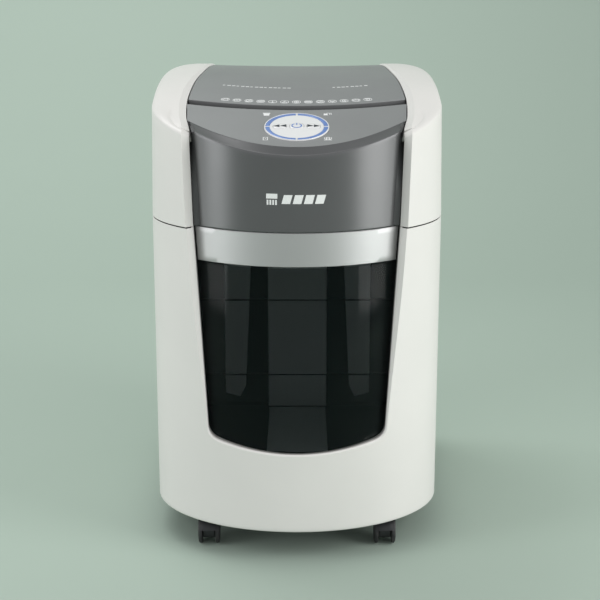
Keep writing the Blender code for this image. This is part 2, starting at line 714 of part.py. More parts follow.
# cabinet
def add_cabinet():
    stems = [(side * CASTOR_X, y) for side in (-1, 1) for y in (CASTOR_FRONT_Y, CASTOR_BACK_Y)]
    tray = combined(prism(body_outline(WALL + 0.0025), BASE_Z, BASE_Z + BASE_THICK),
                    *[cut(rod(STEM_RADIUS + CLEAR, 0.03, 0.06, 16, Matrix.Translation((x, y, 0))))
                      for x, y in stems])
    piece("base_tray", tray, BLACK)

    top = SEAM - SEAM_GAP / 2
    shell = prism([body_outline(), body_outline(WALL)], SKIRT, top)
    back_half = HALF - BACK_CORNER - 0.003
    for name, side in (("side_cover_left", -1), ("side_cover_right", 1)):
        low, high = sorted((side * (back_half + CLEAR), side * (HALF + 0.01)))
        beside = block((low, BIN_SPLIT_Y + RUNNING, 0.02), (high, BACK + 0.02, 0.42))
        cover = combined(shell.copy(), keep(beside))
        piece(name, cover, WHITE, smooth=35)
    back = combined(shell.copy(), keep(block((-back_half, 0.15, 0.02), (back_half, BACK + 0.02, 0.42))))
    piece("back_cover", back, WHITE)

    return shell


# bin
def add_bin(shell):
    opening = prism(opening_outline(), FRONT - 0.02, FRONT + 0.09, FROM_FRONT)
    grips = [block((side * (HALF - 0.011) - 0.0125, GRIP_FRONT, GRIP_LOW),
                   (side * (HALF - 0.011) + 0.0125, GRIP_BACK, GRIP_HIGH)) for side in (-1, 1)]
    ahead = block((-HALF - 0.01, FRONT - 0.01, 0.02), (HALF + 0.01, BIN_SPLIT_Y, 0.42))
    front = combined(shell.copy(), keep(ahead), cut(opening), *[cut(grip) for grip in grips])
    piece("bin_front", front, WHITE, smooth=35)

    half = OPENING_TOP_HALF - REVEAL
    band = face_slab(FACE_INSET, FACE_THICK, half - 0.0012, BAND_BOTTOM, SEAM - SEAM_GAP / 2)
    piece("bin_band", band, BAND, smooth=35)

    low, high = OPENING_BOTTOM, BAND_BOTTOM - REVEAL
    slope = (FACE_INSET - WINDOW_FOOT_INSET) / (high - low)
    slab = face_slab(FACE_INSET, FACE_THICK, OPENING_TOP_HALF, low, high)
    lean = Matrix.Identity(4)
    lean[1][2] = slope
    lean[1][3] = -slope * high
    slab.transform(lean)
    window = combined(slab, keep(prism(opening_outline(REVEAL), FRONT - 0.02, FRONT + 0.09, FROM_FRONT)))
    piece("bin_window", window, SMOKED, smooth=35)

    lining = prism([opening_outline(-0.0045, SEAM - SEAM_GAP / 2)], FRONT - 0.02, FRONT + 0.09, FROM_FRONT)
    hole = prism(opening_outline(-0.0004, SEAM + 0.03), FRONT - 0.03, FRONT + 0.10, FROM_FRONT)
    surround = combined(lining, cut(hole),
                        keep(prism(body_outline(WALL + CLEAR), 0.10, 0.45)),
                        cut(prism([(-0.2, FRONT + 0.3)] + face_arc(FACE_INSET + FACE_THICK + 0.001, 0.135)
                                  + [(0.2, FRONT + 0.3)], 0.09, 0.46)))
    piece("window_surround", surround, WHITE, smooth=35)

    tub_top = TUB_TOP
    outer = tub_outline(TUB_INSET)
    inner = tub_outline(TUB_INSET + TUB_WALL)
    window_cut = block((-0.1255, FRONT - 0.01, OPENING_BOTTOM - 0.004), (0.1255, FRONT + 0.09, tub_top + 0.01))
    tub = combined(prism(outer, TUB_FLOOR, tub_top), cut(prism(inner, TUB_FLOOR + 0.005, tub_top + 0.01)),
                   cut(window_cut))
    piece("bin_tub", tub, BLACK, smooth=35)

    for name, side in (("grip_cup_left", -1), ("grip_cup_right", 1)):
        outside = side * (HALF - 0.0010)
        inside = side * (HALF - 0.0115)
        low_x, high_x = sorted((outside, inside))
        cup = block((low_x, GRIP_FRONT + CLEAR, GRIP_LOW + CLEAR),
                    (high_x, GRIP_BACK - CLEAR, GRIP_HIGH - CLEAR))
        hollow = block((side * (HALF - 0.0045) - 0.0055, GRIP_FRONT + 0.0020, GRIP_LOW + 0.0020),
                       (side * (HALF - 0.0045) + 0.0055, GRIP_BACK - 0.0020, GRIP_HIGH - 0.0020))
        piece(name, combined(cup, cut(hollow)), BLACK)


def tub_outline(inset):
    """The tub seen from above: the body's own nose, then straight sides to the tub's back."""
    half = HALF - inset
    nose = NOSE - inset
    points = []
    for i in range(21):
        angle = pi + pi * i / 20
        points.append((half * cos(angle), NOSE_CENTRE + nose * sin(angle)))
    radius = 0.030 - (inset - TUB_INSET)
    corner_y = TUB_BACK - 0.030
    corner_x = HALF - TUB_INSET - 0.030
    for side, start in ((1, 0.0), (-1, pi / 2)):
        for i in range(5):
            angle = start + pi / 2 * i / 4
            points.append((side * corner_x + radius * cos(angle), corner_y + radius * sin(angle)))
    return points


# castors
def add_castors():
    hood_half = CASTOR_WIDE / 2 - TREAD_WIDE - 0.0006
    for row, y in (("front", CASTOR_FRONT_Y), ("back", CASTOR_BACK_Y)):
        for side_name, side in (("left", -1), ("right", 1)):
            x = side * CASTOR_X
            axle_y = y - CASTOR_TRAIL
            outline = []
            for i in range(15):
                angle = radians(20) - radians(220) * i / 14
                outline.append((axle_y + 0.0165 * cos(angle), WHEEL_RADIUS + 0.0165 * sin(angle)))
            outline += [(axle_y - 0.0130, HOOD_TOP - 0.004), (axle_y - 0.008, HOOD_TOP),
                        (y + 0.0075, HOOD_TOP), (y + 0.0075, WHEEL_RADIUS + 0.009)]
            hood = combined(prism(outline, x - hood_half, x + hood_half, FROM_SIDE),
                            join(rod(STEM_RADIUS, HOOD_TOP - 0.003, BASE_Z + BASE_THICK - CLEAR, 16,
                                     Matrix.Translation((x, y, 0)))),
                            cut(rod(0.0034, -0.03, 0.03, 12, along_x(x, axle_y, WHEEL_RADIUS))))
            piece(f"castor_hood_{row}_{side_name}", hood, BLACK, (x, y, HOOD_TOP), smooth=35)

            half = CASTOR_WIDE / 2
            inner = half - TREAD_WIDE
            wheel = [(0, half), (0.011, half), (0.0165, half - 0.001), (WHEEL_RADIUS, half - 0.0025),
                     (WHEEL_RADIUS, inner + 0.0005), (0.0172, inner), (0.0030, inner),
                     (0.0030, -inner), (0.0172, -inner), (WHEEL_RADIUS, -inner - 0.0005),
                     (WHEEL_RADIUS, -half + 0.0025), (0.0165, -half + 0.001), (0.011, -half), (0, -half)]
            mesh = turned(wheel, 24, False, along_x(x, axle_y, WHEEL_RADIUS))
            piece(f"castor_wheel_{row}_{side_name}", mesh, RUBBER, (x, axle_y, WHEEL_RADIUS), smooth=35)


add_head_shells()
add_head_faces()
add_dial()
add_lid()
add_tray()
add_cutting_head()
add_inlet()
add_bin(add_cabinet())
add_castors()
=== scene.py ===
from math import asin, atan, cos, degrees, hypot, pi, radians, sin, sqrt

import bmesh
import bpy
from mathutils import Matrix, Vector


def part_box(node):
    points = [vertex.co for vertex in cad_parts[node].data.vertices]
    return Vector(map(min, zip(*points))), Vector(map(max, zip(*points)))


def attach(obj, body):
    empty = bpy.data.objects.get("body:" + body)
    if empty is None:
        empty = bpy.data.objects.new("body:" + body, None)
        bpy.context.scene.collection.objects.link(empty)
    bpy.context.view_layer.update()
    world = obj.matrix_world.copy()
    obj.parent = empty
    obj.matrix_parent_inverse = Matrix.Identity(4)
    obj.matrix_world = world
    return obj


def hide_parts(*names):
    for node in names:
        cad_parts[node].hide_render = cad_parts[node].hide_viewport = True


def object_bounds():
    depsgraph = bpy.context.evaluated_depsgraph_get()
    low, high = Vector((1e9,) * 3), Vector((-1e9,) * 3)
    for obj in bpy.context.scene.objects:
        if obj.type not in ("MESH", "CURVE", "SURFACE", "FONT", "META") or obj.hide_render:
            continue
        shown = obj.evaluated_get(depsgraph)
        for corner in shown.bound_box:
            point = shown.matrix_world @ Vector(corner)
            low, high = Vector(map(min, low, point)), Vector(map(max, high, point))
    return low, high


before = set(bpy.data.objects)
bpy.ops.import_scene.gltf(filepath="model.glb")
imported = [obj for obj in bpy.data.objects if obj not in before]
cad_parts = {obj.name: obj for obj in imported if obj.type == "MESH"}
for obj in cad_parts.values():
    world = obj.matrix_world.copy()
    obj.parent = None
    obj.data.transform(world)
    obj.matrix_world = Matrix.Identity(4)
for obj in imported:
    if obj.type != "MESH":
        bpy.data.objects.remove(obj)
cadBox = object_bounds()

# the cabinet's own measures, taken from the frame
front, back = cadBox[0].y, cadBox[1].y
halfWide = cadBox[1].x
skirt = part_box("bin_front")[0].z
seam = (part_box("bin_front")[1].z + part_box("head_cover_left")[0].z) / 2
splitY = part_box("bin_front")[1].y
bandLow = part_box("bin_band")[0].z

body = dict(nose=0.138, backCorner=0.040, degreeStep=0.0025, wall=0.0026, seamGap=0.0008, headHigh=0.11,
            slope=0.3096, panelStart=0.0214, panelZ=0.4874, crestStart=0.129, crestBend=0.883,
            shoulderRise=0.0049, taper=0.0020, faceRadius=0.176, faceInset=0.014, footInset=0.003,
            openTop=0.1181, openLow=0.1030, openLowZ=0.155, openBottom=0.134, openBottomRise=0.014,
            cornerReach=0.012)
noseY = front + body["nose"]
tilt = atan(body["slope"])


class Wire:
    # one output socket; arithmetic on it adds Math nodes
    def __init__(self, finish, socket):
        self.finish = finish
        self.socket = socket

    def maths(self, operation, left, right):
        return self.finish.add("ShaderNodeMath", dict(operation=operation), {0: left, 1: right})

    def __add__(self, other):
        return self.maths("ADD", self, other)

    def __radd__(self, other):
        return self.maths("ADD", other, self)

    def __sub__(self, other):
        return self.maths("SUBTRACT", self, other)

    def __rsub__(self, other):
        return self.maths("SUBTRACT", other, self)

    def __mul__(self, other):
        return self.maths("MULTIPLY", self, other)

    def __rmul__(self, other):
        return self.maths("MULTIPLY", other, self)


class Finish:
    # a material under construction
    def __init__(self, name, colour, roughness, **fixed):
        self.material = bpy.data.materials.new(name)
        self.material.use_nodes = True
        self.tree = self.material.node_tree
        self.shader = self.tree.nodes["Principled BSDF"]
        self.shader.inputs["Base Color"].default_value = (*colour, 1)
        self.shader.inputs["Roughness"].default_value = roughness
        for socketName, value in fixed.items():
            self.shader.inputs[socketName.replace("_", " ")].default_value = value

    def add(self, kind, settings=None, inputs=None, output=0):
        node = self.tree.nodes.new(kind)
        for key, value in (settings or {}).items():
            setattr(node, key, value)
        for key, value in (inputs or {}).items():
            if isinstance(value, Wire):
                self.tree.links.new(value.socket, node.inputs[key])
            else:
                node.inputs[key].default_value = value
        return Wire(self, node.outputs[output])

    def noise(self, scale, detail=3.0, stretch=(1, 1, 1)):
        spot = self.add("ShaderNodeTexCoord", output="Object")
        placed = self.add("ShaderNodeMapping", inputs={"Vector": spot, "Scale": stretch})
        return self.add("ShaderNodeTexNoise", inputs={"Vector": placed, "Scale": scale, "Detail": detail})

    def spread(self, wire, low, high):
        # the part of a pattern between low and high, stretched to 0..1
        return self.add("ShaderNodeMapRange", inputs={"Value": wire, "From Min": low, "From Max": high})

    def mixed(self, factor, first, second):
        # the Mix node's colour sockets are its seventh and eighth inputs and its third output
        return self.add("ShaderNodeMix", dict(data_type="RGBA"), {0: factor, 6: (*first, 1), 7: (*second, 1)},
                        output=2)

    def feed(self, socketName, wire):
        self.tree.links.new(wire.socket, self.shader.inputs[socketName])
        return self

    def bump(self, height, strength, distance):
        return self.feed("Normal", self.add("ShaderNodeBump", inputs={"Height": height, "Strength": strength,
                                                                      "Distance": distance}))


finishes = dict(
    white=dict(colour=(0.790, 0.772, 0.750), shade=(0.765, 0.750, 0.728), roughness=0.36),
    grey=dict(colour=(0.118, 0.120, 0.124), shade=(0.108, 0.110, 0.114), roughness=0.30),
    # a darker copy of the grey gloss for the front panel's border: painted shade for the dark it reflects
    greyBorderPaintedShade=dict(colour=(0.100, 0.102, 0.105), roughness=0.44),
    satin=dict(colour=(0.290, 0.294, 0.300), shade=(0.270, 0.274, 0.280), roughness=0.42),
    # a darker copy of the satin grey for the lid's front fascia, hinge knuckles and underside ribs: painted
    # shade
    satinPaintedShade=dict(colour=(0.125, 0.128, 0.131), roughness=0.46),
    band=dict(colour=(0.53, 0.532, 0.536), roughness=0.50),
    smoke=dict(colour=(0.004, 0.008, 0.008), roughness=0.06, alpha=0.28),
    black=dict(colour=(0.020, 0.021, 0.024), shade=(0.030, 0.031, 0.034), roughness=0.46),
    tub=dict(colour=(0.045, 0.052, 0.052), roughness=0.42),
    tubPale=dict(colour=(0.86, 0.96, 0.96), roughness=0.38),
    steel=dict(colour=(0.42, 0.43, 0.44), roughness=0.36),
    rubber=dict(colour=(0.020, 0.020, 0.022), worn=(0.048, 0.047, 0.046), roughness=0.55),
    dial=dict(colour=(0.85, 0.85, 0.86), roughness=0.20, coat=0.3),
    blue=dict(colour=(0.130, 0.225, 0.540), shade=(0.165, 0.275, 0.600), roughness=0.30),
    print=dict(colour=(0.86, 0.87, 0.87), roughness=0.45),
    ink=dict(colour=(0.016, 0.020, 0.034), roughness=0.36),
    board=dict(colour=(0.020, 0.120, 0.050), track=(0.055, 0.210, 0.095), roughness=0.42),
)


def moulded(name, kind, grain, depth, **fixed):
    # moulded plastic: faint tone drift, fine texture, roughness that varies a little
    values = finishes[kind]
    finish = Finish(name, values["colour"], values["roughness"], **fixed)
    drift = finish.spread(finish.noise(9.0, 4.0), 0.35, 0.65)
    finish.feed("Base Color", finish.mixed(drift, values["colour"], values.get("shade", values["colour"])))
    fine = finish.noise(grain, 2.0)
    finish.feed("Roughness", values["roughness"] - 0.03 + 0.06 * fine + 0.03 * drift)
    return finish.bump(fine, 0.10, depth).material


def printed(name, kind, grain, change, detail=3.0, **fixed):
    # an even finish whose roughness alone varies
    values = finishes[kind]
    finish = Finish(name, values["colour"], values["roughness"], **fixed)
    return finish.feed("Roughness", values["roughness"] + change * finish.noise(grain, detail)).material


def makeFinishes():
    made = {}
    made["white"] = moulded("whiteShell", "white", 1900.0, 0.00006, Specular_IOR_Level=0.45)
    made["grey"] = moulded("greyGloss", "grey", 2600.0, 0.00002, Metallic=0.35, Coat_Weight=0.5,
                           Coat_Roughness=0.30)
    # the front panel border's darker grey is painted shade
    made["greyBorderPaintedShade"] = moulded("greyBorderPaintedShade", "greyBorderPaintedShade", 2600.0, 0.00003, Metallic=0.2)
    made["satin"] = moulded("satinGrey", "satin", 2400.0, 0.00004, Metallic=0.3)
    # the darker satin is painted shade for lid parts in the feed slot and under the lid
    made["satinPaintedShade"] = moulded("satinPaintedShade", "satinPaintedShade", 2400.0, 0.00004, Metallic=0.2)
    made["black"] = moulded("blackPlastic", "black", 1500.0, 0.00012)
    made["tub"] = moulded("tubPlastic", "tub", 900.0, 0.00002, Specular_IOR_Level=0.25)
    made["tubPale"] = moulded("tubPanel", "tubPale", 900.0, 0.00002)
    made["dial"] = printed("dialWhite", "dial", 600.0, 0.05, 2.0, Coat_Weight=finishes["dial"]["coat"])
    made["print"] = printed("printWhite", "print", 900.0, 0.10)
    made["ink"] = printed("printDark", "ink", 900.0, 0.08)

    values = finishes["smoke"]
    made["smoke"] = printed("smokedPlastic", "smoke", 30.0, 0.03, Alpha=values["alpha"], IOR=1.49,
                            Specular_IOR_Level=0.22)

    values = finishes["band"]
    finish = Finish("satinBand", values["colour"], values["roughness"], Metallic=0.85)
    streak = finish.noise(60.0, 3.0, (14, 14, 0.35))
    finish.feed("Roughness", values["roughness"] - 0.03 + 0.06 * streak)
    made["band"] = finish.bump(streak, 0.02, 0.00001).material

    values = finishes["rubber"]
    finish = Finish("tyreRubber", values["colour"], values["roughness"])
    scuff = finish.spread(finish.noise(180.0, 5.0), 0.45, 0.75)
    finish.feed("Base Color", finish.mixed(scuff, values["colour"], values["worn"]))
    finish.feed("Roughness", values["roughness"] + 0.25 * scuff)
    made["rubber"] = finish.bump(scuff, 0.2, 0.0001).material

    values = finishes["steel"]
    finish = Finish("turnedSteel", values["colour"], values["roughness"], Metallic=1.0)
    turning = finish.noise(420.0, 4.0, (6, 1, 1))
    finish.feed("Roughness", values["roughness"] - 0.08 + 0.20 * turning)
    made["steel"] = finish.bump(turning, 0.08, 0.00005).material

    values = finishes["blue"]
    finish = Finish("ringBlue", values["colour"], values["roughness"])
    cloud = finish.spread(finish.noise(90.0, 2.0), 0.3, 0.7)
    made["blue"] = finish.feed("Base Color", finish.mixed(cloud, values["colour"], values["shade"])).material

    values = finishes["board"]
    finish = Finish("circuitGreen", values["colour"], values["roughness"])
    tracks = finish.spread(finish.noise(240.0, 1.0, (1, 1, 4)), 0.50, 0.53)
    finish.feed("Base Color", finish.mixed(tracks, values["colour"], values["track"]))
    made["board"] = finish.material
    return made


look = makeFinishes()
print("finishes ready")


def planPoint(a, inset=0.0):
    # round the body: a is degrees on the elliptical nose, then runs on past 90 along side, corner and back
    side = 1 if a >= 0 else -1
    turn = abs(a)
    half, nose, corner = halfWide - inset, body["nose"] - inset, body["backCorner"]
    if turn <= 90:
        return side * half * sin(radians(turn)), noseY - nose * cos(radians(turn))
    run = (turn - 90) * body["degreeStep"]
    straight = back - corner - noseY
    if run <= straight:
        return side * half, noseY + run
    bend = (run - straight) / corner
    if bend <= pi / 2:
        return (side * (halfWide - corner + (corner - inset) * cos(bend)),
                back - corner + (corner - inset) * sin(bend))
    return side * (halfWide - corner - (run - straight - corner * pi / 2)), back - inset


def turnAtY(y):
    # the value of a where the side passes a depth
    return 90 + (y - noseY) / body["degreeStep"]


backTurn = 90 + (back - body["backCorner"] - noseY + body["backCorner"] * pi / 2) / body["degreeStep"]


def turnAtBackX(x):
    return backTurn + (halfWide - body["backCorner"] - x) / body["degreeStep"]


def panelZ(y):
    return body["panelZ"] + body["slope"] * (y - front - body["panelStart"])


def lidZ(y):
    beyond = max(0.0, y - front - body["crestStart"])
    return panelZ(y) - body["crestBend"] * beyond * beyond


def topZ(y):
    return lidZ(y) + body["shoulderRise"]


# half the width between the white covers, against the distance behind the nose
coverEdge = ((-0.020, 0.1225), (0.037, 0.1230), (0.062, 0.1243), (0.090, 0.1268), (0.120, 0.1290),
             (0.140, 0.1296), (0.160, 0.1290), (0.180, 0.1277), (0.205, 0.1255), (0.230, 0.1222),
             (0.256, 0.1180), (0.280, 0.1152), (0.306, 0.1130), (0.353, 0.1092), (0.400, 0.1072),
             (0.470, 0.1065))


def smoothAlong(table, at):
    # a curve through the table's points, with no corners
    for i in range(len(table) - 1):
        if at <= table[i + 1][0] or i == len(table) - 2:
            break
    (x0, y0), (x1, y1) = table[i], table[i + 1]
    before = table[i - 1] if i else (2 * x0 - x1, 2 * y0 - y1)
    after = table[i + 2] if i + 2 < len(table) else (2 * x1 - x0, 2 * y1 - y0)
    slopeIn = (y1 - before[1]) / (x1 - before[0])
    slopeOut = (after[1] - y0) / (after[0] - x0)
    t = (at - x0) / (x1 - x0)
    span = x1 - x0
    return ((2 * t ** 3 - 3 * t * t + 1) * y0 + (t ** 3 - 2 * t * t + t) * span * slopeIn
            + (3 * t * t - 2 * t ** 3) * y1 + (t ** 3 - t * t) * span * slopeOut)


def coverHalf(y):
    return smoothAlong(coverEdge, y - front)


def smoothStep(low, high, value):
    t = min(1.0, max(0.0, (value - low) / (high - low)))
    return t * t * (3 - 2 * t)


def openHalf(z):
    grow = (body["openTop"] - body["openLow"]) / (seam - body["openLowZ"])
    return body["openLow"] + grow * (z - body["openLowZ"])


def openFloor(x):
    return body["openBottom"] + body["openBottomRise"] * (x / body["openLow"]) ** 2


def faceY(x, z):
    # the curved front of panel, band and window; below the band it leans forward to the window's foot
    lean = 0.0
    if z < bandLow:
        lean = (body["faceInset"] - body["footInset"]) * (bandLow - z) / (bandLow - body["openBottom"])
    radius = body["faceRadius"]
    return front + body["faceInset"] + radius - sqrt(radius * radius - x * x) - lean


def placed(name, data):
    thing = bpy.data.objects.new(name, data)
    bpy.context.scene.collection.objects.link(thing)
    return thing


def finished(name, mesh, material, ride, slot, stands=(), sharp=32, extra=()):
    # a piece of the model: its mesh, its finishes, the body it rides on and the solids it stands for
    mesh.name = name
    thing = placed(name, mesh)
    for each in (material, *extra):
        mesh.materials.append(look[each])
    mesh.shade_smooth()
    mesh.set_sharp_from_angle(angle=radians(sharp))
    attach(thing, ride)
    if stands:
        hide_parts(*stands)
    return thing


def meshOf(work, weld=0.000004):
    bmesh.ops.remove_doubles(work, verts=work.verts, dist=weld)
    bmesh.ops.recalc_face_normals(work, faces=work.faces)
    mesh = bpy.data.meshes.new("made")
    work.to_mesh(mesh)
    work.free()
    return mesh


def loft(sections, closed=True, caps=True, work=None, tag=None):
    # skin a list of equal-length sections; tag(i, j) gives a face's material number
    own = work is None
    work = work or bmesh.new()
    rows = [[work.verts.new(point) for point in section] for section in sections]
    count = len(rows[0])
    for i in range(len(rows) - 1):
        for j in range(count if closed else count - 1):
            k = (j + 1) % count
            face = work.faces.new((rows[i][j], rows[i][k], rows[i + 1][k], rows[i + 1][j]))
            if tag:
                face.material_index = tag(i, j)
    if caps:
        work.faces.new(rows[0][::-1])
        work.faces.new(rows[-1])
    return meshOf(work) if own else work


def solid(thing, thickness):
    # wall thickness, laid inwards from whichever side faces away from the body's middle
    middle = Vector((0, 0, 0.28))
    if sum(face.normal.dot(face.center - middle) * face.area for face in thing.data.polygons) < 0:
        thing.data.flip_normals()
    modifier = thing.modifiers.new("wall", "SOLIDIFY")
    modifier.thickness = thickness
    modifier.offset = -1
    modifier.use_even_offset = False


def bevelled(thing, width, segments=2, angle=35):
    modifier = thing.modifiers.new("edges", "BEVEL")
    modifier.width = width
    modifier.segments = segments
    modifier.limit_method = "ANGLE"
    modifier.angle_limit = radians(angle)


def blockInto(work, low, high):
    made = bmesh.ops.create_cube(work, size=1)["verts"]
    size = [b - a for a, b in zip(low, high)]
    middle = [(a + b) / 2 for a, b in zip(low, high)]
    bmesh.ops.scale(work, vec=size, verts=made)
    bmesh.ops.translate(work, vec=middle, verts=made)


def turnedInto(work, profile, steps, place, closed=False):
    # spin a (radius, height) profile about local Z
    rings = []
    for radius, height in profile:
        if radius < 1e-7:
            rings.append([work.verts.new(place @ Vector((0, 0, height)))])
            continue
        rings.append([work.verts.new(place @ Vector((radius * cos(2 * pi * i / steps),
                                                     radius * sin(2 * pi * i / steps), height)))
                      for i in range(steps)])
    pairs = list(zip(rings, rings[1:]))
    if closed:
        pairs.append((rings[-1], rings[0]))
    for upper, lower in pairs:
        for i in range(steps):
            k = (i + 1) % steps
            corners = []
            for ring, index in ((upper, i), (upper, k), (lower, k), (lower, i)):
                vertex = ring[index % len(ring)]
                if vertex not in corners:
                    corners.append(vertex)
            if len(corners) > 2:
                work.faces.new(corners)


def cutAway(thing, *cutters):
    # cut closed meshes out of a piece and work out all its modifiers
    helpers = [placed("cutter", cutter) for cutter in cutters]
    for helper in helpers:
        modifier = thing.modifiers.new("cut", "BOOLEAN")
        modifier.object = helper
        modifier.solver = "EXACT"
    bpy.context.view_layer.update()
    made = bpy.data.meshes.new_from_object(thing.evaluated_get(bpy.context.evaluated_depsgraph_get()))
    thing.modifiers.clear()
    for helper in helpers:
        bpy.data.objects.remove(helper)
    return made


def carved(mesh, *cutters):
    blank = placed("blank", mesh)
    made = cutAway(blank, *cutters)
    bpy.data.objects.remove(blank)
    return made


def mirroredX(mesh):
    copy = mesh.copy()
    copy.transform(Matrix.Scale(-1, 4, (1, 0, 0)))
    copy.flip_normals()
    return copy


def bothSides(name, mesh, material, ride, slot, stands, **more):
    # the mesh made for the right is mirrored for the left
    things = []
    for side, shape in (("Left", mirroredX(mesh)), ("Right", mesh)):
        node = tuple(f"{each}_{side.lower()}" for each in stands)
        things.append(finished(name + side, shape, material, ride, slot, node, **more))
    return things


binFront = dict(footRise=0.075, chamferTop=0.0075, chamferLow=0.0018, chamferDepth=0.75, growFrom=0.14,
                growTo=0.352, lining=0.0042, footRound=0.0030, sideRound=0.0010, seamRound=0.0003,
                sideCount=40, cornerCount=8, floorCount=26, across=22)


def openingPath():
    # the opening's inner edge, top left, down, across and up again
    values = binFront
    top = seam - body["seamGap"] / 2
    reach = body["cornerReach"]
    cornerZ = openFloor(openHalf(openFloor(body["openLow"])) * 0.999)
    left = [(-openHalf(top), top)]
    for i in range(values["sideCount"]):
        z = top - values["seamRound"] + (cornerZ + reach - top) * i / (values["sideCount"] - 1)
        left.append((-openHalf(z), z))
    start = left[-1]
    cornerX = -openHalf(cornerZ)
    endX = cornerX + reach
    end = (endX, openFloor(endX))
    for i in range(1, values["cornerCount"]):
        t = i / values["cornerCount"]
        left.append(tuple((1 - t) ** 2 * p + 2 * t * (1 - t) * q + t * t * r
                          for p, q, r in zip(start, (cornerX, cornerZ), end)))
    for i in range(values["floorCount"] + 1):
        x = endX * (1 - i / values["floorCount"])
        left.append((x, openFloor(x)))
    path = left + [(-x, z) for x, z in left[-2::-1]]
    result = []                                            # each point with the way into the opening
    for i, (x, z) in enumerate(path):
        before, after = path[max(0, i - 1)], path[min(len(path) - 1, i + 1)]
        dx, dz = after[0] - before[0], after[1] - before[1]
        length = hypot(dx, dz)
        result.append((x, z, (-dz / length, dx / length)))
    return result


def chamferWidth(z):
    # the chamfer round the opening widens as it rises
    values = binFront
    grown = smoothStep(values["growFrom"], values["growTo"], z)
    return values["chamferLow"] + (values["chamferTop"] - values["chamferLow"]) * grown


def binFrontMesh():
    values = binFront
    path = openingPath()
    last = len(path) - 1
    sideCount, cornerCount = values["sideCount"], values["cornerCount"]
    endTurn = turnAtY(splitY)
    rise = values["footRise"]
    sections = []
    for i, (x, z, inward) in enumerate(path):
        j = min(i, last - i)                               # counts down either arm alike
        side = -1 if i <= last / 2 else 1
        top = seam - body["seamGap"] / 2
        if j <= sideCount:
            drop = top - skirt - rise - values["seamRound"]
            fall = 0 if j == 0 else values["seamRound"] + drop * (j - 1) / (sideCount - 1)
            outer = (endTurn, top - fall)
        elif j <= sideCount + cornerCount:
            outer = (endTurn, skirt + rise * (1 - (j - sideCount) / cornerCount))
        else:
            rest = (j - sideCount - cornerCount) / (last / 2 - sideCount - cornerCount)
            outer = (endTurn * (1 - rest), skirt)
        outerTurn = outer[0] * side
        width = chamferWidth(z)
        edgeX, edgeZ = x - inward[0] * width, z - inward[1] * width
        edgeTurn = degrees(asin(edgeX / halfWide))
        span = hypot((planPoint(outerTurn)[1] - planPoint(edgeTurn)[1]), outer[1] - edgeZ)
        span = max(span, abs(planPoint(outerTurn)[0] - edgeX), 0.01)
        radius = values["footRound"] if j > sideCount + cornerCount * 0.6 else values["sideRound"]
        endInset = values["seamRound"] if j == 0 else 0.0
        section = []

        def outside(u, inset):
            a = outerTurn + (edgeTurn - outerTurn) * u
            level = outer[1] + (edgeZ - outer[1]) * u
            px, py = planPoint(a, inset + endInset)
            return px, py, level

        section.append(outside(0, 0.0030))
        for k in range(5):                                 # the rounded outer edge
            angle = pi / 2 * k / 4
            section.append(outside(radius * (1 - cos(angle)) / span, radius * (1 - sin(angle))))
        for k in range(1, values["across"] + 1):
            start = radius / span
            section.append(outside(start + (1 - start) * (k / values["across"]) * 0.999, 0.0))
        baseY = planPoint(edgeTurn, endInset)[1]
        for share, lower in ((0.0, 0.0), (0.06, 0.02), (0.92, 0.98), (0.98, 1.06), (1.0, 1.16)):
            section.append((edgeX + inward[0] * width * share,
                            baseY + width * values["chamferDepth"] * lower,
                            edgeZ + inward[1] * width * share))
        deep = faceY(x, z) + values["lining"]              # inside, past the band and the window
        section.append((x, max(deep, baseY + width * 1.2 + 0.001), z))
        sections.append(section)
    return loft(sections, closed=False, caps=False)


def makeBinFront():
    thing = finished("binFrontShell", binFrontMesh(), "white", "bin", "white_shell",
                     ("bin_front", "window_surround"), sharp=28)
    solid(thing, body["wall"])
    work = bmesh.new()
    for side in (-1, 1):
        loft([[(side * (halfWide + reach), y, z) for y, z in gripOutline(0.0004)]
              for reach in (-0.006, 0.004)], work=work)
    thing.data = cutAway(thing, meshOf(work))


faceParts = dict(reveal=0.0016, bandThick=0.0028, windowThick=0.0028, edgeRound=0.0008, across=44,
                 footCorner=0.0105, lip=0.0007, lipFrom=0.0032, lipTo=0.0046)


def faceSections(levels, halfAt, lowAt, thick, edge, push=None):
    # curved plate: each level is a section, front from left to right, then back
    sections = []
    count = faceParts["across"]
    for number, level in enumerate(levels):
        ends = edge if number in (0, len(levels) - 1) else 0.0
        frontRow, backRow = [], []
        for i in range(count + 1):
            u = 2 * i / count - 1
            u = u * (1.5 - 0.5 * u * u)          # closer together near the edges
            half = halfAt(level)
            x = u * half
            z = lowAt(x, level)
            sink = edge * (1 - sqrt(max(0.0, 1 - max(0.0, (abs(x) - half + edge) / edge) ** 2)))
            out = push(x, z) if push else 0.0
            y = faceY(x, z) + max(sink, ends) - out
            frontRow.append((x, y, z))
            backRow.append((x, faceY(x, z) + thick, z))
        sections.append(frontRow + backRow[::-1])
    return sections


def makeBand():
    low, high = bandLow, seam - body["seamGap"] / 2
    edge = faceParts["edgeRound"]
    levels = [low, low + edge] + [low + (high - low) * i / 6 for i in range(1, 6)] + [high - edge, high]
    sections = faceSections(levels, lambda z: openHalf(z) - faceParts["reveal"], lambda x, z: z,
                            faceParts["bandThick"], edge)
    finished("silverBand", loft(sections), "band", "bin", "brushed_band", ("bin_band",), sharp=40)


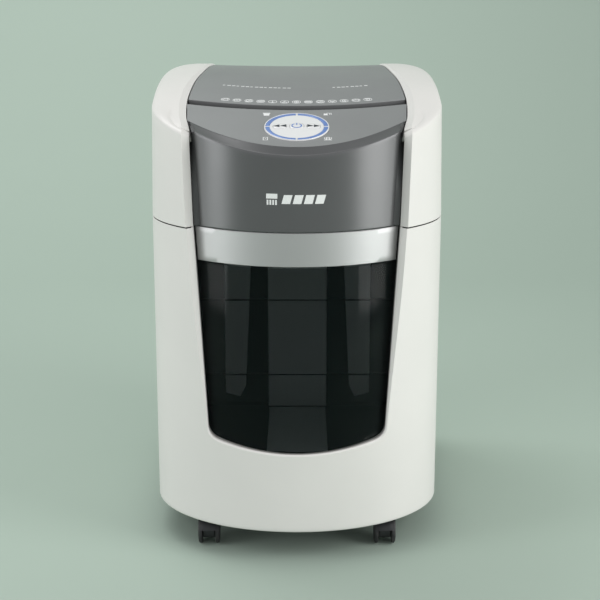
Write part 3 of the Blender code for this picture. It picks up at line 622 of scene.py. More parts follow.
def makeWindow():
    top = bandLow - faceParts["reveal"]
    reveal = faceParts["reveal"]
    reach = faceParts["footCorner"]
    low = body["openBottom"] + reveal

    def floorAt(x):
        return openFloor(x) + reveal

    def halfAt(v):
        z = low + (top - low) * v
        half = openHalf(max(z, body["openLowZ"])) - reveal
        rise = z - low
        if rise < reach:
            half -= reach - sqrt(max(0.0, reach ** 2 - (reach - rise) ** 2))
        return half

    def levelAt(x, v):
        return floorAt(x) + (top - floorAt(x)) * v

    def lip(x, z):
        # a raised bead a little above the window's lower edge
        above = z - floorAt(x)
        bead = smoothStep(0.0, 0.0008, above) - smoothStep(faceParts["lipFrom"], faceParts["lipTo"], above)
        return faceParts["lip"] * bead

    levels = [0, 0.0012, 0.004, 0.009, 0.014, 0.019, 0.024, 0.030, 0.037, 0.045, 0.06]
    levels += [0.06 + 0.934 * i / 22 for i in range(1, 22)] + [0.9965, 1]
    sections = faceSections(levels, halfAt, levelAt, faceParts["windowThick"], faceParts["edgeRound"], lip)
    finished("smokedWindow", loft(sections), "smoke", "bin", "smoked_window", ("bin_window",), sharp=40)


headCover = dict(stripBack=0.0034, stripFront=0.0082, stripDrop=0.0046, stripDropBack=0.0018,
                 chamferDepth=0.0075, returnDepth=0.016, returnDrop=0.012, wallRows=10, rollRows=14,
                 rollFrom=0.04, rollTo=0.44, lipRound=0.0003, openLean=0.0452, slices=150,
                 chamferShares=(0.05, 0.35, 0.65, 0.95, 1.0))

# distance behind the nose, then roll height, roll width and how full its start is
coverRoll = ((0.040, 0.0062, 0.0085, 0.50), (0.100, 0.0062, 0.0220, 0.46), (0.175, 0.0070, 0.0340, 0.56),
             (0.230, 0.0108, 0.0420, 0.62), (0.300, 0.0170, 0.0430, 0.66), (0.400, 0.0270, 0.0430, 0.64),
             (0.460, 0.0270, 0.0430, 0.64))


def rollAt(behind, column):
    kept = min(headCover["rollTo"], max(headCover["rollFrom"], behind))
    return smoothAlong([(row[0], row[column]) for row in coverRoll], kept)


def stripAt(y):
    # width and fall of the sloping strip beside the lid, both less towards the back
    values = headCover
    narrow, settle = smoothStep(0.09, 0.27, y - front), smoothStep(0.16, 0.29, y - front)
    wide = values["stripBack"] + (values["stripFront"] - values["stripBack"]) * (1 - narrow)
    return wide, values["stripDrop"] + (values["stripDropBack"] - values["stripDrop"]) * settle


def startTurnAt(z):
    # where the chamfer's outer edge meets the nose; the opening leans outwards as it rises
    x = body["openTop"] + 0.0002 + headCover["stripFront"] + headCover["openLean"] * max(0.0, z - seam)
    return degrees(asin(x / halfWide))


def headInset(z):
    # the head leans in a little towards its top
    return body["taper"] * max(0.0, z - seam) / body["headHigh"]


def coverSection(share, endTurn, lead=None):
    # one slice: up the wall, over the roll, across to the strip beside the lid and down inside
    values = headCover
    low = seam + body["seamGap"] / 2
    first = startTurnAt(seam)
    span = endTurn - first

    def wall(z, inset=0.0):
        start = startTurnAt(z)
        fade = max(0.0, 1 - span * share / 34)
        return planPoint(first + (start - first) * fade + span * share, inset + headInset(z))

    turn = first + span * share
    straightEnd = turnAtY(back - body["backCorner"])
    swing = pi / 2 * smoothStep(first, 88, turn)
    away = (-sin(swing), cos(swing))
    footX, footY = wall(seam)
    behind = footY - front
    high, wide, full = (rollAt(behind, column) for column in (1, 2, 3))
    atY = footY
    if turn > straightEnd:                                 # round the back corner the roll keeps its line
        along = (turn - straightEnd) / (endTurn - straightEnd)
        atY = (back - body["backCorner"]) + (body["backCorner"] - 0.0042) * along ** 0.8
        away = (-1, 0)
    strip = stripAt(atY)[0]
    if turn >= 80:
        wide = min(wide, max(0.00002, footX - coverHalf(atY) - strip))
    wallTop = topZ(atY + away[1] * wide) - high
    lip = values["lipRound"]
    section = [(*wall(low, lip), low), (*wall(low + lip), low + lip)]
    for i in range(1, values["wallRows"] + 1):
        z = low + 0.0005 + (wallTop - low - 0.0005) * i / values["wallRows"]
        section.append((*wall(z), z))
    edgeX, edgeY, edgeZ = section[-1]
    for i in range(1, values["rollRows"] + 1):
        t = i / values["rollRows"]
        run = 3 * t * t * (1 - t) * (1 - full) + t ** 3
        rise = 3 * t * (1 - t) ** 2 * full + 3 * t * t * (1 - t) + t ** 3
        section.append((edgeX + away[0] * wide * run, edgeY + (away[1] * wide + atY - footY) * run,
                        edgeZ + high * rise))
    overX, overY, overZ = section[-1]
    blend = 1 - smoothStep(0.044, 0.100, overY - front)
    drop = stripAt(overY)[1]
    outerX = overX
    if lead is not None:
        outerX = coverHalf(overY) + strip + lead * (1 - smoothStep(0.0, 0.10, share))
    flatZ = topZ(overY)
    for t in (0.33, 0.66, 0.97, 1.0):
        section.append((overX + (outerX - overX) * t, overY, overZ + (flatZ - overZ) * t))
    outer = section[-1]
    for t in values["chamferShares"]:
        section.append((outer[0] - strip * t, overY + values["chamferDepth"] * t * blend,
                        outer[2] - drop * t))
    innerEnd = section[-1]
    section.append((innerEnd[0] + 0.0002, innerEnd[1], innerEnd[2] - 0.0014))
    section.append((innerEnd[0] + 0.0006, innerEnd[1], innerEnd[2] - values["returnDrop"]))
    return section


def headCoverMesh():
    # the first slice is drawn back to make the chamfer beside the front panel, then come the rest
    values = headCover
    endTurn = turnAtBackX(coverHalf(back) + 0.0002)
    first = coverSection(0.0, endTurn)
    wallCount = 2 + values["wallRows"] + values["rollRows"]
    over = first[wallCount]
    lead = over[0] - coverHalf(over[1]) - values["stripFront"]
    low, top = first[0][2], first[wallCount - 1][2]
    chamfer = []
    for number, t in enumerate(values["chamferShares"]):
        section = []
        for i, (x, y, z) in enumerate(first):
            if i < wallCount:
                section.append((x - values["stripFront"] * t, y + values["chamferDepth"] * t,
                                z - values["stripDrop"] * t * (z - low) / (top - low)))
            else:
                # beyond the corner these points gather on the strip's own
                reached = wallCount + 4 + number
                section.append(first[max(i, reached)] if i < wallCount + 9 else first[i])
        chamfer.append(section)
    hidden = [(x + 0.0004, y + values["returnDepth"], z - 0.001 * (i >= wallCount))
              for i, (x, y, z) in enumerate(chamfer[-1])]
    sections = [hidden] + chamfer[::-1] + [first]
    sections += [coverSection(i / values["slices"], endTurn, lead) for i in range(1, values["slices"] + 1)]
    return loft(sections, closed=False, caps=False)


def makeHeadCovers():
    for thing in bothSides("headCover", headCoverMesh(), "white", "cabinet", "white_shell", ("head_cover",),
                           sharp=30):
        solid(thing, body["wall"])


frontPanel = dict(rim=0.0068, rimDepth=0.0006, gap=0.0006, chamferLow=0.4791, chamferRise=1.534,
                  topEdge=0.0215, topCurve=4.30, across=40, rows=16, edgeWide=0.0034, edgeDeep=0.0016,
                  topLevel=0.507, thick=0.0024, rimShares=(0.0, 0.08, 0.5, 0.93, 1.0))


def panelFrontY(x):
    return front + frontPanel["topEdge"] + frontPanel["topCurve"] * x * x


def makeFrontPanel():
    values = frontPanel
    shares = values["rimShares"]
    low = seam + body["seamGap"] / 2

    def outerX(z):
        return body["openTop"] + headCover["openLean"] * (z - seam) - values["gap"]

    cornerX = outerX(values["topLevel"])
    innerTop = cornerX - values["rim"]
    topInner = values["chamferLow"] + values["chamferRise"] * innerTop ** 2
    topOuter = panelZ(panelFrontY(cornerX))

    # rows and columns crowd together where the field rounds off
    levels = [0.0, 0.012] + [i / values["rows"] for i in range(1, values["rows"])]
    levels += [0.966, 0.975, 0.984, 0.991, 0.996, 0.999, 1.0]
    near = (0.999, 0.996, 0.991, 0.984, 0.975, 0.966)
    edges = [-1.0] + [-u for u in near] + [2 * i / values["across"] - 1 for i in range(1, values["across"])]
    edges += list(near[::-1]) + [1.0]

    def rounded(distance):
        # the field's edge falls away to the sunk border
        left = 1 - min(1.0, max(0.0, distance) / values["edgeWide"])
        return values["edgeDeep"] * (1 - sqrt(1 - left * left))

    def column(u, rim):
        # u is -1..1 across the face; rim is 0 on the face, up to 1 at the outer edge
        side = 1 if u >= 0 else -1
        points = []
        xTop = u * innerTop
        topZHere = values["chamferLow"] + values["chamferRise"] * xTop * xTop
        for level in levels:
            zFace = low + (topZHere - low) * level
            x = u * (outerX(zFace) - values["rim"])
            if rim:
                zOut = low + (topOuter - low) * level
                xIn = side * (outerX(zFace) - values["rim"])
                yIn = faceY(xIn, zFace) + values["edgeDeep"]
                xOut = side * outerX(zOut)
                sunk = values["edgeDeep"] + values["rimDepth"]
                sweep = panelFrontY(cornerX) - faceY(innerTop, topInner) - sunk
                yOut = yIn + values["rimDepth"] + sweep * level ** 3
                points.append((xIn + (xOut - xIn) * rim, yIn + (yOut - yIn) * rim,
                               zFace + (zOut - zFace) * rim))
            else:
                sunk = max(rounded(outerX(zFace) - values["rim"] - abs(x)), rounded(topZHere - zFace))
                points.append((x, faceY(x, zFace) + sunk, zFace))
        base = points[-1]
        xEnd = u * cornerX
        end = (xEnd, panelFrontY(xEnd), panelZ(panelFrontY(xEnd)) - 0.0002)
        corner = (side * innerTop, faceY(innerTop, topInner) + values["edgeDeep"], topInner)
        cornerEnd = (side * cornerX, panelFrontY(cornerX), topOuter - 0.0002)
        for t in shares[1:]:
            if rim:
                s = max(t, rim)
                points.append(tuple(p + (q - p) * s for p, q in zip(corner, cornerEnd)))
            else:
                points.append(tuple(p + (q - p) * t for p, q in zip(base, end)))
        points.append((points[-1][0], points[-1][1] + 0.006, points[-1][2] - 0.0008))
        return points

    columns = [column(-1, s) for s in shares[:0:-1]]
    columns += [column(u, 0) for u in edges]
    columns += [column(1, s) for s in shares[1:]]

    def tag(i, j):
        # the field is gloss grey; the border round it is duller, and its darker colour is painted shade for
        # the dark it reflects
        arm = len(shares) - 1
        return 0 if arm <= i < len(edges) + arm - 1 and j < len(levels) - 1 else 1

    mesh = loft(columns, closed=False, caps=False, tag=tag)
    thing = finished("frontPanel", mesh, "grey", "cabinet", "grey_gloss", ("front_panel",), sharp=50,
                     extra=("greyBorderPaintedShade",))
    solid(thing, values["thick"])


controlPanel = dict(backEdge=0.1168, backCurve=1.01, frontHalf=0.1258, backHalf=0.1287, dialBehind=0.0715,
                    dialRadius=0.0370, rows=14, across=30, thick=0.0024)
dialY = front + controlPanel["dialBehind"]


def onPanel(x, up, height=0.0):
    # a spot on the sloping panel: across, up the slope from the dial's middle, and off the surface
    return Vector((x, dialY + up * cos(tilt) - height * sin(tilt),
                   panelZ(dialY) + up * sin(tilt) + height * cos(tilt)))


panelPlace = Matrix.Translation(onPanel(0, 0)) @ Matrix.Rotation(tilt, 4, "X")


def drumMesh(radius, low, high, place, steps=96):
    work = bmesh.new()
    turnedInto(work, [(0, low), (radius, low), (radius, high), (0, high)], steps, place)
    return meshOf(work)


def blockMesh(low, high):
    work = bmesh.new()
    blockInto(work, low, high)
    return meshOf(work)


def makeControlPanel():
    values = controlPanel
    rows, across, thick = values["rows"], values["across"], values["thick"]
    work = bmesh.new()
    grids = []
    for drop in (0.0, thick):
        grid = []
        for r in range(rows + 1):
            t = r / rows
            line = []
            for c in range(across + 1):
                u = 2 * c / across - 1
                xf, xb = u * values["frontHalf"], u * values["backHalf"]
                yf = panelFrontY(xf) + 0.0002
                yb = front + values["backEdge"] + values["backCurve"] * xb * xb
                y = yf + (yb - yf) * t
                line.append(work.verts.new((xf + (xb - xf) * t, y + drop * 0.3, panelZ(y) - drop)))
            grid.append(line)
        grids.append(grid)
    top, bottom = grids
    for r in range(rows):
        for c in range(across):
            work.faces.new((top[r][c], top[r][c + 1], top[r + 1][c + 1], top[r + 1][c]))
            work.faces.new((bottom[r][c], bottom[r + 1][c], bottom[r + 1][c + 1], bottom[r][c + 1]))
    rim = ([(0, c) for c in range(across)] + [(r, across) for r in range(rows)]
           + [(rows, c) for c in range(across, 0, -1)] + [(r, 0) for r in range(rows, 0, -1)])
    for (r0, c0), (r1, c1) in zip(rim, rim[1:] + rim[:1]):
        work.faces.new((top[r0][c0], bottom[r0][c0], bottom[r1][c1], top[r1][c1]))
    mesh = carved(meshOf(work), drumMesh(values["dialRadius"] - 0.0006, -0.02, 0.02, panelPlace))
    thing = finished("controlPanel", mesh, "satin", "cabinet", "silver_grey", ("control_panel",), sharp=35)
    bevelled(thing, 0.0004, 2, 50)


dial = dict(rimWide=0.0011, rise=0.0016, dome=0.0007, faceRadius=0.0310, gapAngle=2.2, spokeHalf=0.0009,
            powerRadius=0.0082, sideKey=0.0192, keyHalf=(0.0078, 0.0072), keyRise=0.00042, steps=128)


def strokeInto(work, points, width, placeAt, height=0.00025, closed=False, sink=0.0003):
    # a raised line of constant width through 2-D points, laid on a surface by placeAt(u, v, h)
    ends = list(points)
    if closed:
        ends.append(ends[0])
    pairs = []
    for i, (u, v) in enumerate(ends):
        if closed:
            before, after = ends[(i - 1) % (len(ends) - 1)], ends[(i + 1) % (len(ends) - 1)]
        else:
            before, after = ends[max(0, i - 1)], ends[min(len(ends) - 1, i + 1)]
        du, dv = after[0] - before[0], after[1] - before[1]
        length = hypot(du, dv) or 1
        nu, nv = -dv / length * width / 2, du / length * width / 2
        pairs.append([placeAt(u + nu, v + nv, height), placeAt(u - nu, v - nv, height),
                      placeAt(u - nu, v - nv, -sink), placeAt(u + nu, v + nv, -sink)])
    rows = [[work.verts.new(corner) for corner in each] for each in pairs]
    for one, two in zip(rows, rows[1:]):
        for j in range(4):
            k = (j + 1) % 4
            work.faces.new((one[j], one[k], two[k], two[j]))
    if not closed:
        work.faces.new(rows[0][::-1])
        work.faces.new(rows[-1])


def patchInto(work, outline, placeAt, height=0.00025, sink=0.0003):
    # a raised flat shape with straight sides
    top = [work.verts.new(placeAt(u, v, height)) for u, v in outline]
    low = [work.verts.new(placeAt(u, v, -sink)) for u, v in outline]
    work.faces.new(top)
    work.faces.new(low[::-1])
    for i in range(len(top)):
        k = (i + 1) % len(top)
        work.faces.new((top[i], low[i], low[k], top[k]))


def ringPoints(radius, start, end, steps, centre=(0, 0)):
    return [(centre[0] + radius * cos(radians(start + (end - start) * i / steps)),
             centre[1] + radius * sin(radians(start + (end - start) * i / steps))) for i in range(steps + 1)]


def dialZ(radius):
    # the face domes slightly
    return dial["rise"] - dial["dome"] * (radius / dial["faceRadius"]) ** 2


def makeDial():
    values = dial
    radius = controlPanel["dialRadius"]
    inner = radius - values["rimWide"]
    work = bmesh.new()
    rim = [(radius, -0.0015), (radius, 0.0006), (radius - 0.0003, 0.0012), (inner, 0.0013),
           (inner - 0.0002, 0.0009), (inner - 0.0002, -0.0015)]
    turnedInto(work, rim, values["steps"], panelPlace, closed=True)
    finished("dialRim", meshOf(work), "dial", "cabinet", "dial_white", ("dial_rim",), sharp=50)

    work = bmesh.new()
    low = values["faceRadius"] + 0.0001
    for quarter in range(4):
        start, end = quarter * 90 + values["gapAngle"], quarter * 90 + 90 - values["gapAngle"]
        rows = []
        for a in range(25):
            angle = radians(start + (end - start) * a / 24)
            rows.append([onPanel(r * cos(angle), r * sin(angle), h) for r, h in
                         ((inner - 0.0003, -0.0010), (inner - 0.0003, 0.0008), (inner - 0.0009, 0.0011),
                          (low + 0.0006, 0.0013), (low, 0.0010), (low, -0.0010))])
        loft(rows, work=work)
    finished("dialRing", meshOf(work), "blue", "cabinet", "ring_blue", ("dial_ring_light",), sharp=40)

    work = bmesh.new()
    reach = values["faceRadius"]
    profile = [(0, -0.0018), (inner - 0.0003, -0.0018), (inner - 0.0003, 0.0003), (reach, 0.0003),
               (reach, dialZ(reach) - 0.0004), (reach - 0.0004, dialZ(reach))]
    profile += [(reach * (1 - i / 12), dialZ(reach * (1 - i / 12))) for i in range(1, 13)]
    turnedInto(work, profile, values["steps"], panelPlace)
    face = meshOf(work)
    holes = []
    for centre, half in keyPlaces():
        hole = bmesh.new()
        shape = keyOutline(half, 0.0003)
        patchInto(hole, [(centre + u, v) for u, v in shape], onPanel, 0.01, 0.01)
        holes.append(meshOf(hole))
    finished("dialFace", carved(face, *holes), "dial", "cabinet", "dial_white", ("dial_face",), sharp=35)

    work = bmesh.new()
    for quarter in range(4):
        angle = radians(quarter * 90)
        along = (cos(angle), sin(angle))
        across = (-sin(angle), cos(angle))
        wide = values["spokeHalf"]
        corners = [(r * along[0] + s * wide * across[0], r * along[1] + s * wide * across[1])
                   for r, s in ((low - 0.0002, -1), (inner, -1), (inner, 1), (low - 0.0002, 1))]
        patchInto(work, corners, onPanel, 0.0011, 0.001)
    finished("dialSpokes", meshOf(work), "dial", "cabinet", "dial_white", sharp=40)


def keyPlaces():
    values = dial
    return ((0.0, (values["powerRadius"], values["powerRadius"])), (values["sideKey"], values["keyHalf"]),
            (-values["sideKey"], values["keyHalf"]))


def rounder(value, power):
    # squares off a circle's sine or cosine a little
    return abs(value) ** power * (1 if value >= 0 else -1)


def keyOutline(half, grow=0.0, steps=48):
    # a rounded key seen square on
    turns = [2 * pi * i / steps for i in range(steps)]
    return [((half[0] + grow) * rounder(cos(a), 0.8), (half[1] + grow) * rounder(sin(a), 0.8)) for a in turns]


def makeKeys():
    for name, node, ride, (centre, half) in zip(("powerKey", "forwardKey", "reverseKey"),
                                                ("power_button", "forward_button", "reverse_button"),
                                                ("power_key", "forward_key", "reverse_key"), keyPlaces()):
        rings = []
        for grow, rise in ((-0.0001, -0.0030), (-0.0001, 0.00005), (-0.0004, 0.00032),
                           (-0.0012, dial["keyRise"])):
            foot = rise < -0.002                           # the foot is flat, the top follows the dome
            rings.append([onPanel(centre + u, v, rise if foot else dialZ(hypot(centre + u, v)) + rise)
                          for u, v in keyOutline(half, grow)])
        work = loft(rings, work=bmesh.new())
        finished(name, meshOf(work), "dial", ride, "dial_white", (node,), sharp=35)

        def onKey(u, v, h):
            return onPanel(u, v, dialZ(hypot(u, v)) + dial["keyRise"] + h)

        work = bmesh.new()
        if centre:
            side = 1 if centre > 0 else -1
            for offset in (-0.0040, 0.0036):
                tip, base = centre + side * (offset + 0.0036), centre + side * (offset - 0.0032)
                patchInto(work, [(tip, 0), (base, 0.0031), (base, -0.0031)][::side], onKey)
            finished(name + "Arrows", meshOf(work), "ink", ride, "ring_blue", sharp=40)
        else:
            arc = ringPoints(0.0054, 122, 418, 40)
            strokeInto(work, arc, 0.0013, onKey)
            strokeInto(work, [(0, 0.0016), (0, 0.0068)], 0.0013, onKey)
            finished(name + "Sign", meshOf(work), "blue", ride, "ring_blue", sharp=40)


panelSigns = dict(aside=0.0350, lowBehind=0.042, highBehind=0.105, line=0.0010, thinLine=0.0008)


def makePanelSigns():
    # four lamps round the dial, each a plain sign
    def at(side, behind):
        up = (behind - controlPanel["dialBehind"]) / cos(tilt)
        return lambda u, v, h: onPanel(side * panelSigns["aside"] + u, up + v, h)

    low, high = panelSigns["lowBehind"], panelSigns["highBehind"]
    line, thin = panelSigns["line"], panelSigns["thinLine"]
    signs = {}
    work = bmesh.new()                                     # full bin
    place = at(-1, high)
    patchInto(work, [(-0.0038, 0.0024), (-0.0030, -0.0034), (0.0030, -0.0034), (0.0038, 0.0024)], place)
    strokeInto(work, [(-0.0044, 0.0036), (0.0044, 0.0036)], line, place)
    signs["signBinFull"] = (work, "lamp_bin_full")
    work = bmesh.new()                                     # too many sheets
    place = at(1, high)
    patchInto(work, [(-0.0040, 0.0020), (-0.0040, -0.0024), (0.0006, -0.0024), (0.0006, 0.0020)], place)
    for shift in (0.0017, 0.0034):
        sheet = [(-0.0024 + shift, 0.0036), (0.0014 + shift, 0.0036), (0.0014 + shift, -0.0008)]
        strokeInto(work, sheet, thin, place)
    signs["signOverload"] = (work, "lamp_overload")
    work = bmesh.new()                                     # bin open
    place = at(-1, low)
    outline = [(-0.0024, 0.0036), (-0.0024, -0.0036), (0.0024, -0.0036), (0.0024, 0.0036)]
    strokeInto(work, outline, line, place, closed=True)
    strokeInto(work, [(-0.0006, 0.0), (0.0010, 0.0)], line, place)
    signs["signBinOpen"] = (work, "lamp_bin_open")
    work = bmesh.new()                                     # resting to cool
    place = at(1, low)
    strokeInto(work, [(-0.0044, -0.0034), (0.0044, -0.0034)], line, place)
    strokeInto(work, ringPoints(0.0022, 0, 340, 20, (0, 0.0014)), line, place)
    for side in (-1, 1):
        strokeInto(work, [(side * 0.0014, -0.0012), (side * 0.0026, -0.0026)], line, place)
        strokeInto(work, [(side * 0.0038, 0.0030), (side * 0.0038, -0.0008)], thin, place)
    signs["signCooling"] = (work, "lamp_overheat")
    for name, (work, node) in signs.items():
        finished(name, meshOf(work), "print", "cabinet", "dial_white", (node,), sharp=40)


frontMark = dict(middleZ=0.4300, high=0.0125, sheet=0.0125, strips=4, stripShare=0.62, space=0.0045,
                 aside=0.0020, bars=4, barWide=0.0096, gap=0.0028, lean=0.0028)


def makeFrontMark():
    values = frontMark

    def place(u, v, h):
        z = values["middleZ"] + v
        y = faceY(u, z)
        normal = Vector((u, -sqrt(body["faceRadius"] ** 2 - u * u), 0)).normalized()
        return Vector((u, y, z)) + normal * h

    half, sheet, bars = values["high"] / 2, values["sheet"], values["bars"]
    total = sheet + values["space"] + bars * values["barWide"] + (bars - 1) * values["gap"]
    left = -total / 2 - values["aside"]
    work = bmesh.new()
    low = half * 0.12
    patchInto(work, [(left + sheet, half), (left + sheet, low), (left, low), (left, half)], place)
    for i in range(values["strips"]):                      # the sheet comes out as strips
        pitch = sheet / values["strips"]
        x = left + pitch * (i + 0.5)
        strokeInto(work, [(x, -half * 0.10), (x, -half)], pitch * values["stripShare"], place)
    x = left + sheet + values["space"]
    for i in range(bars):
        a, b = x, x + values["barWide"]
        inner = [(a + (b - a) * t / 4, -half * 0.80) for t in range(5)]
        outer = [(a + values["lean"] + (b - a) * t / 4, half * 0.80) for t in range(4, -1, -1)]
        patchInto(work, inner + outer, place)
        x = b + values["gap"]
    finished("frontMark", meshOf(work), "print", "cabinet", "brushed_band", ("front_mark",), sharp=40)


lidShape = dict(cornerX=0.1276, sideFront=0.1477, frontEdge=0.1296, frontCurve=1.11, backEdge=0.4350,
                gap=0.0012, fascia=0.0078, fasciaIn=0.99, tuck=0.0012, thick=0.0018, swell=0.0038,
                dip=0.0020, across=36, along=44, hingeY=0.431, hingeDrop=0.0068,
                knuckles=(-0.085, -0.030, 0.030, 0.085))


def lidTop(x, y):
    # the lid swells towards the crest, more at its sides than in the middle, and settles at the hinge
    behind = y - front
    swell = lidShape["swell"] - lidShape["dip"] * (1 - (x / 0.12) ** 2)
    settled = 1 - 0.9 * smoothStep(0.392, 0.430, behind)
    return lidZ(y) - 0.0004 + swell * smoothStep(0.150, 0.300, behind) * settled


def makeLid():
    values = lidShape

    def spot(u, t):
        # u across, t from the front edge to the back
        x0 = u * values["cornerX"]
        y0 = front + values["frontEdge"] + values["frontCurve"] * x0 * x0
        y = y0 + (front + values["backEdge"] - y0) * t
        sideY = front + values["sideFront"] + (values["backEdge"] - values["sideFront"]) * t
        x = u * (coverHalf(sideY) - values["gap"])
        return x, y

    edges = [-1.0, -0.994] + [2 * i / values["across"] - 1 for i in range(1, values["across"])] + [0.994, 1.0]
    levels = [0.0, 0.0025] + [i / values["along"] for i in range(1, values["along"])] + [0.997, 1.0]

    def column(u):
        points = []
        x, y = spot(u, 0)
        z = lidTop(x, y)
        inward = values["fasciaIn"]
        points.append((x * inward, y + values["tuck"] + 0.0060, z - values["fascia"] - 0.0004))
        points.append((x * inward, y + values["tuck"], z - values["fascia"]))
        points.append((x * inward, y + values["tuck"] - 0.0004, z - values["fascia"] + 0.0004))
        points.append((x, y + 0.0003, z - 0.0012))
        points.append((x, y + 0.0006, z - 0.0004))
        for level in levels[1:]:
            x, y = spot(u, level)
            points.append((x, y, lidTop(x, y)))
        x, y = spot(u, 1)
        points.append((x, y + 0.0006, lidTop(x, y) - 0.0012))
        points.append((x, y + 0.0006, lidTop(x, y) - 0.0040))
        return points

    columns = [column(u) for u in edges]
    left = [(x - 0.0003, y, z - 0.0034) for x, y, z in columns[0]]
    right = [(x + 0.0003, y, z - 0.0034) for x, y, z in columns[-1]]
    left[:4] = columns[0][:4]
    right[:4] = columns[-1][:4]
    # the fascia along the lid's front edge takes the darker satin: painted shade for the feed slot
    mesh = loft([left] + columns + [right], closed=False, caps=False, tag=lambda i, j: 1 if j < 4 else 0)
    thing = finished("lidSkin", mesh, "satin", "lid", "silver_grey", ("lid",), sharp=35,
                     extra=("satinPaintedShade",))
    solid(thing, values["thick"])

    axisY, axisZ = front + values["hingeY"], lidZ(front + values["hingeY"]) - values["hingeDrop"]
    work = bmesh.new()
    barrel = [(0.0023, -0.008), (0.0040, -0.008), (0.0044, -0.0076), (0.0044, 0.0076), (0.0040, 0.008),
              (0.0023, 0.008)]
    for x in values["knuckles"]:
        place = Matrix.Translation((x, axisY, axisZ)) @ Matrix.Rotation(pi / 2, 4, "Y")
        turnedInto(work, barrel, 28, place, closed=True)
        blockInto(work, (x - 0.0076, axisY - 0.0040, axisZ + 0.0022),
                  (x + 0.0076, axisY + 0.0012, axisZ + 0.0050))
    # the knuckles take the darker satin: painted shade
    finished("lidKnuckles", meshOf(work), "satinPaintedShade", "lid", "silver_grey", sharp=35)


lidRibs = dict(half=0.0009, deep=0.0042, start=0.158, end=0.410, along=(-0.088, -0.044, 0.0, 0.044, 0.088),
               across=(0.165, 0.225, 0.290, 0.350, 0.405), reach=0.098)


def makeLidRibs():
    # stiffening ribs on the underside of the lid
    values = lidRibs
    work = bmesh.new()

    def rib(path, sideways, lengthways):
        sections = []
        for x, y in path:
            top = lidTop(x, y) - lidShape["thick"] + 0.0003
            dx, dy = sideways * values["half"], lengthways * values["half"]
            low = top - values["deep"]
            sections.append([(x - dx, y - dy, top), (x + dx, y + dy, top), (x + dx, y + dy, low),
                             (x - dx, y - dy, low)])
        loft(sections, work=work)

    steps = [i / 24 for i in range(25)]
    for x in values["along"]:
        rib([(x, front + values["start"] + (values["end"] - values["start"]) * t) for t in steps], 1, 0)
    for behind in values["across"]:
        rib([(values["reach"] * (2 * t - 1), front + behind) for t in steps], 0, 1)
    # the ribs take the darker satin: painted shade under the lid
    finished("lidRibs", meshOf(work), "satinPaintedShade", "lid", "silver_grey", sharp=35)


trayFlange = dict(inner=0.1100, start=0.152, end=0.414, drop=0.0078, thick=0.0014, step=0.0022)


def makeTrayFlanges():
    # ledges that close the gaps between the paper tray and the white covers
    values = trayFlange
    sections = []
    for i in range(41):
        y = front + values["start"] + (values["end"] - values["start"]) * i / 40
        outer = coverHalf(y) - 0.0008
        top = lidZ(y) - values["drop"]
        low = top - values["thick"]
        inner = min(values["inner"], outer - 0.002)
        step = values["step"]
        sections.append([(inner, y, top - step), (inner + 0.0012, y, top - step), (inner + 0.0016, y, top),
                         (outer, y, top), (outer, y, low), (inner + 0.0006, y, low - step),
                         (inner, y, low - step)])
    bothSides("trayFlange", loft(sections), "black", "cabinet", "black_plastic", (), sharp=30)


lidSigns = dict(startX=-0.0848, pitch=0.01406, behind=0.1404, line=0.00075, borderLine=0.0006,
                borderHalf=(4.7, 3.5), dashBehind=0.186, dashCurve=1.36, dashWide=0.0016,
                dashes=((-0.090, -0.006, 15), (0.043, 0.087, 8)))


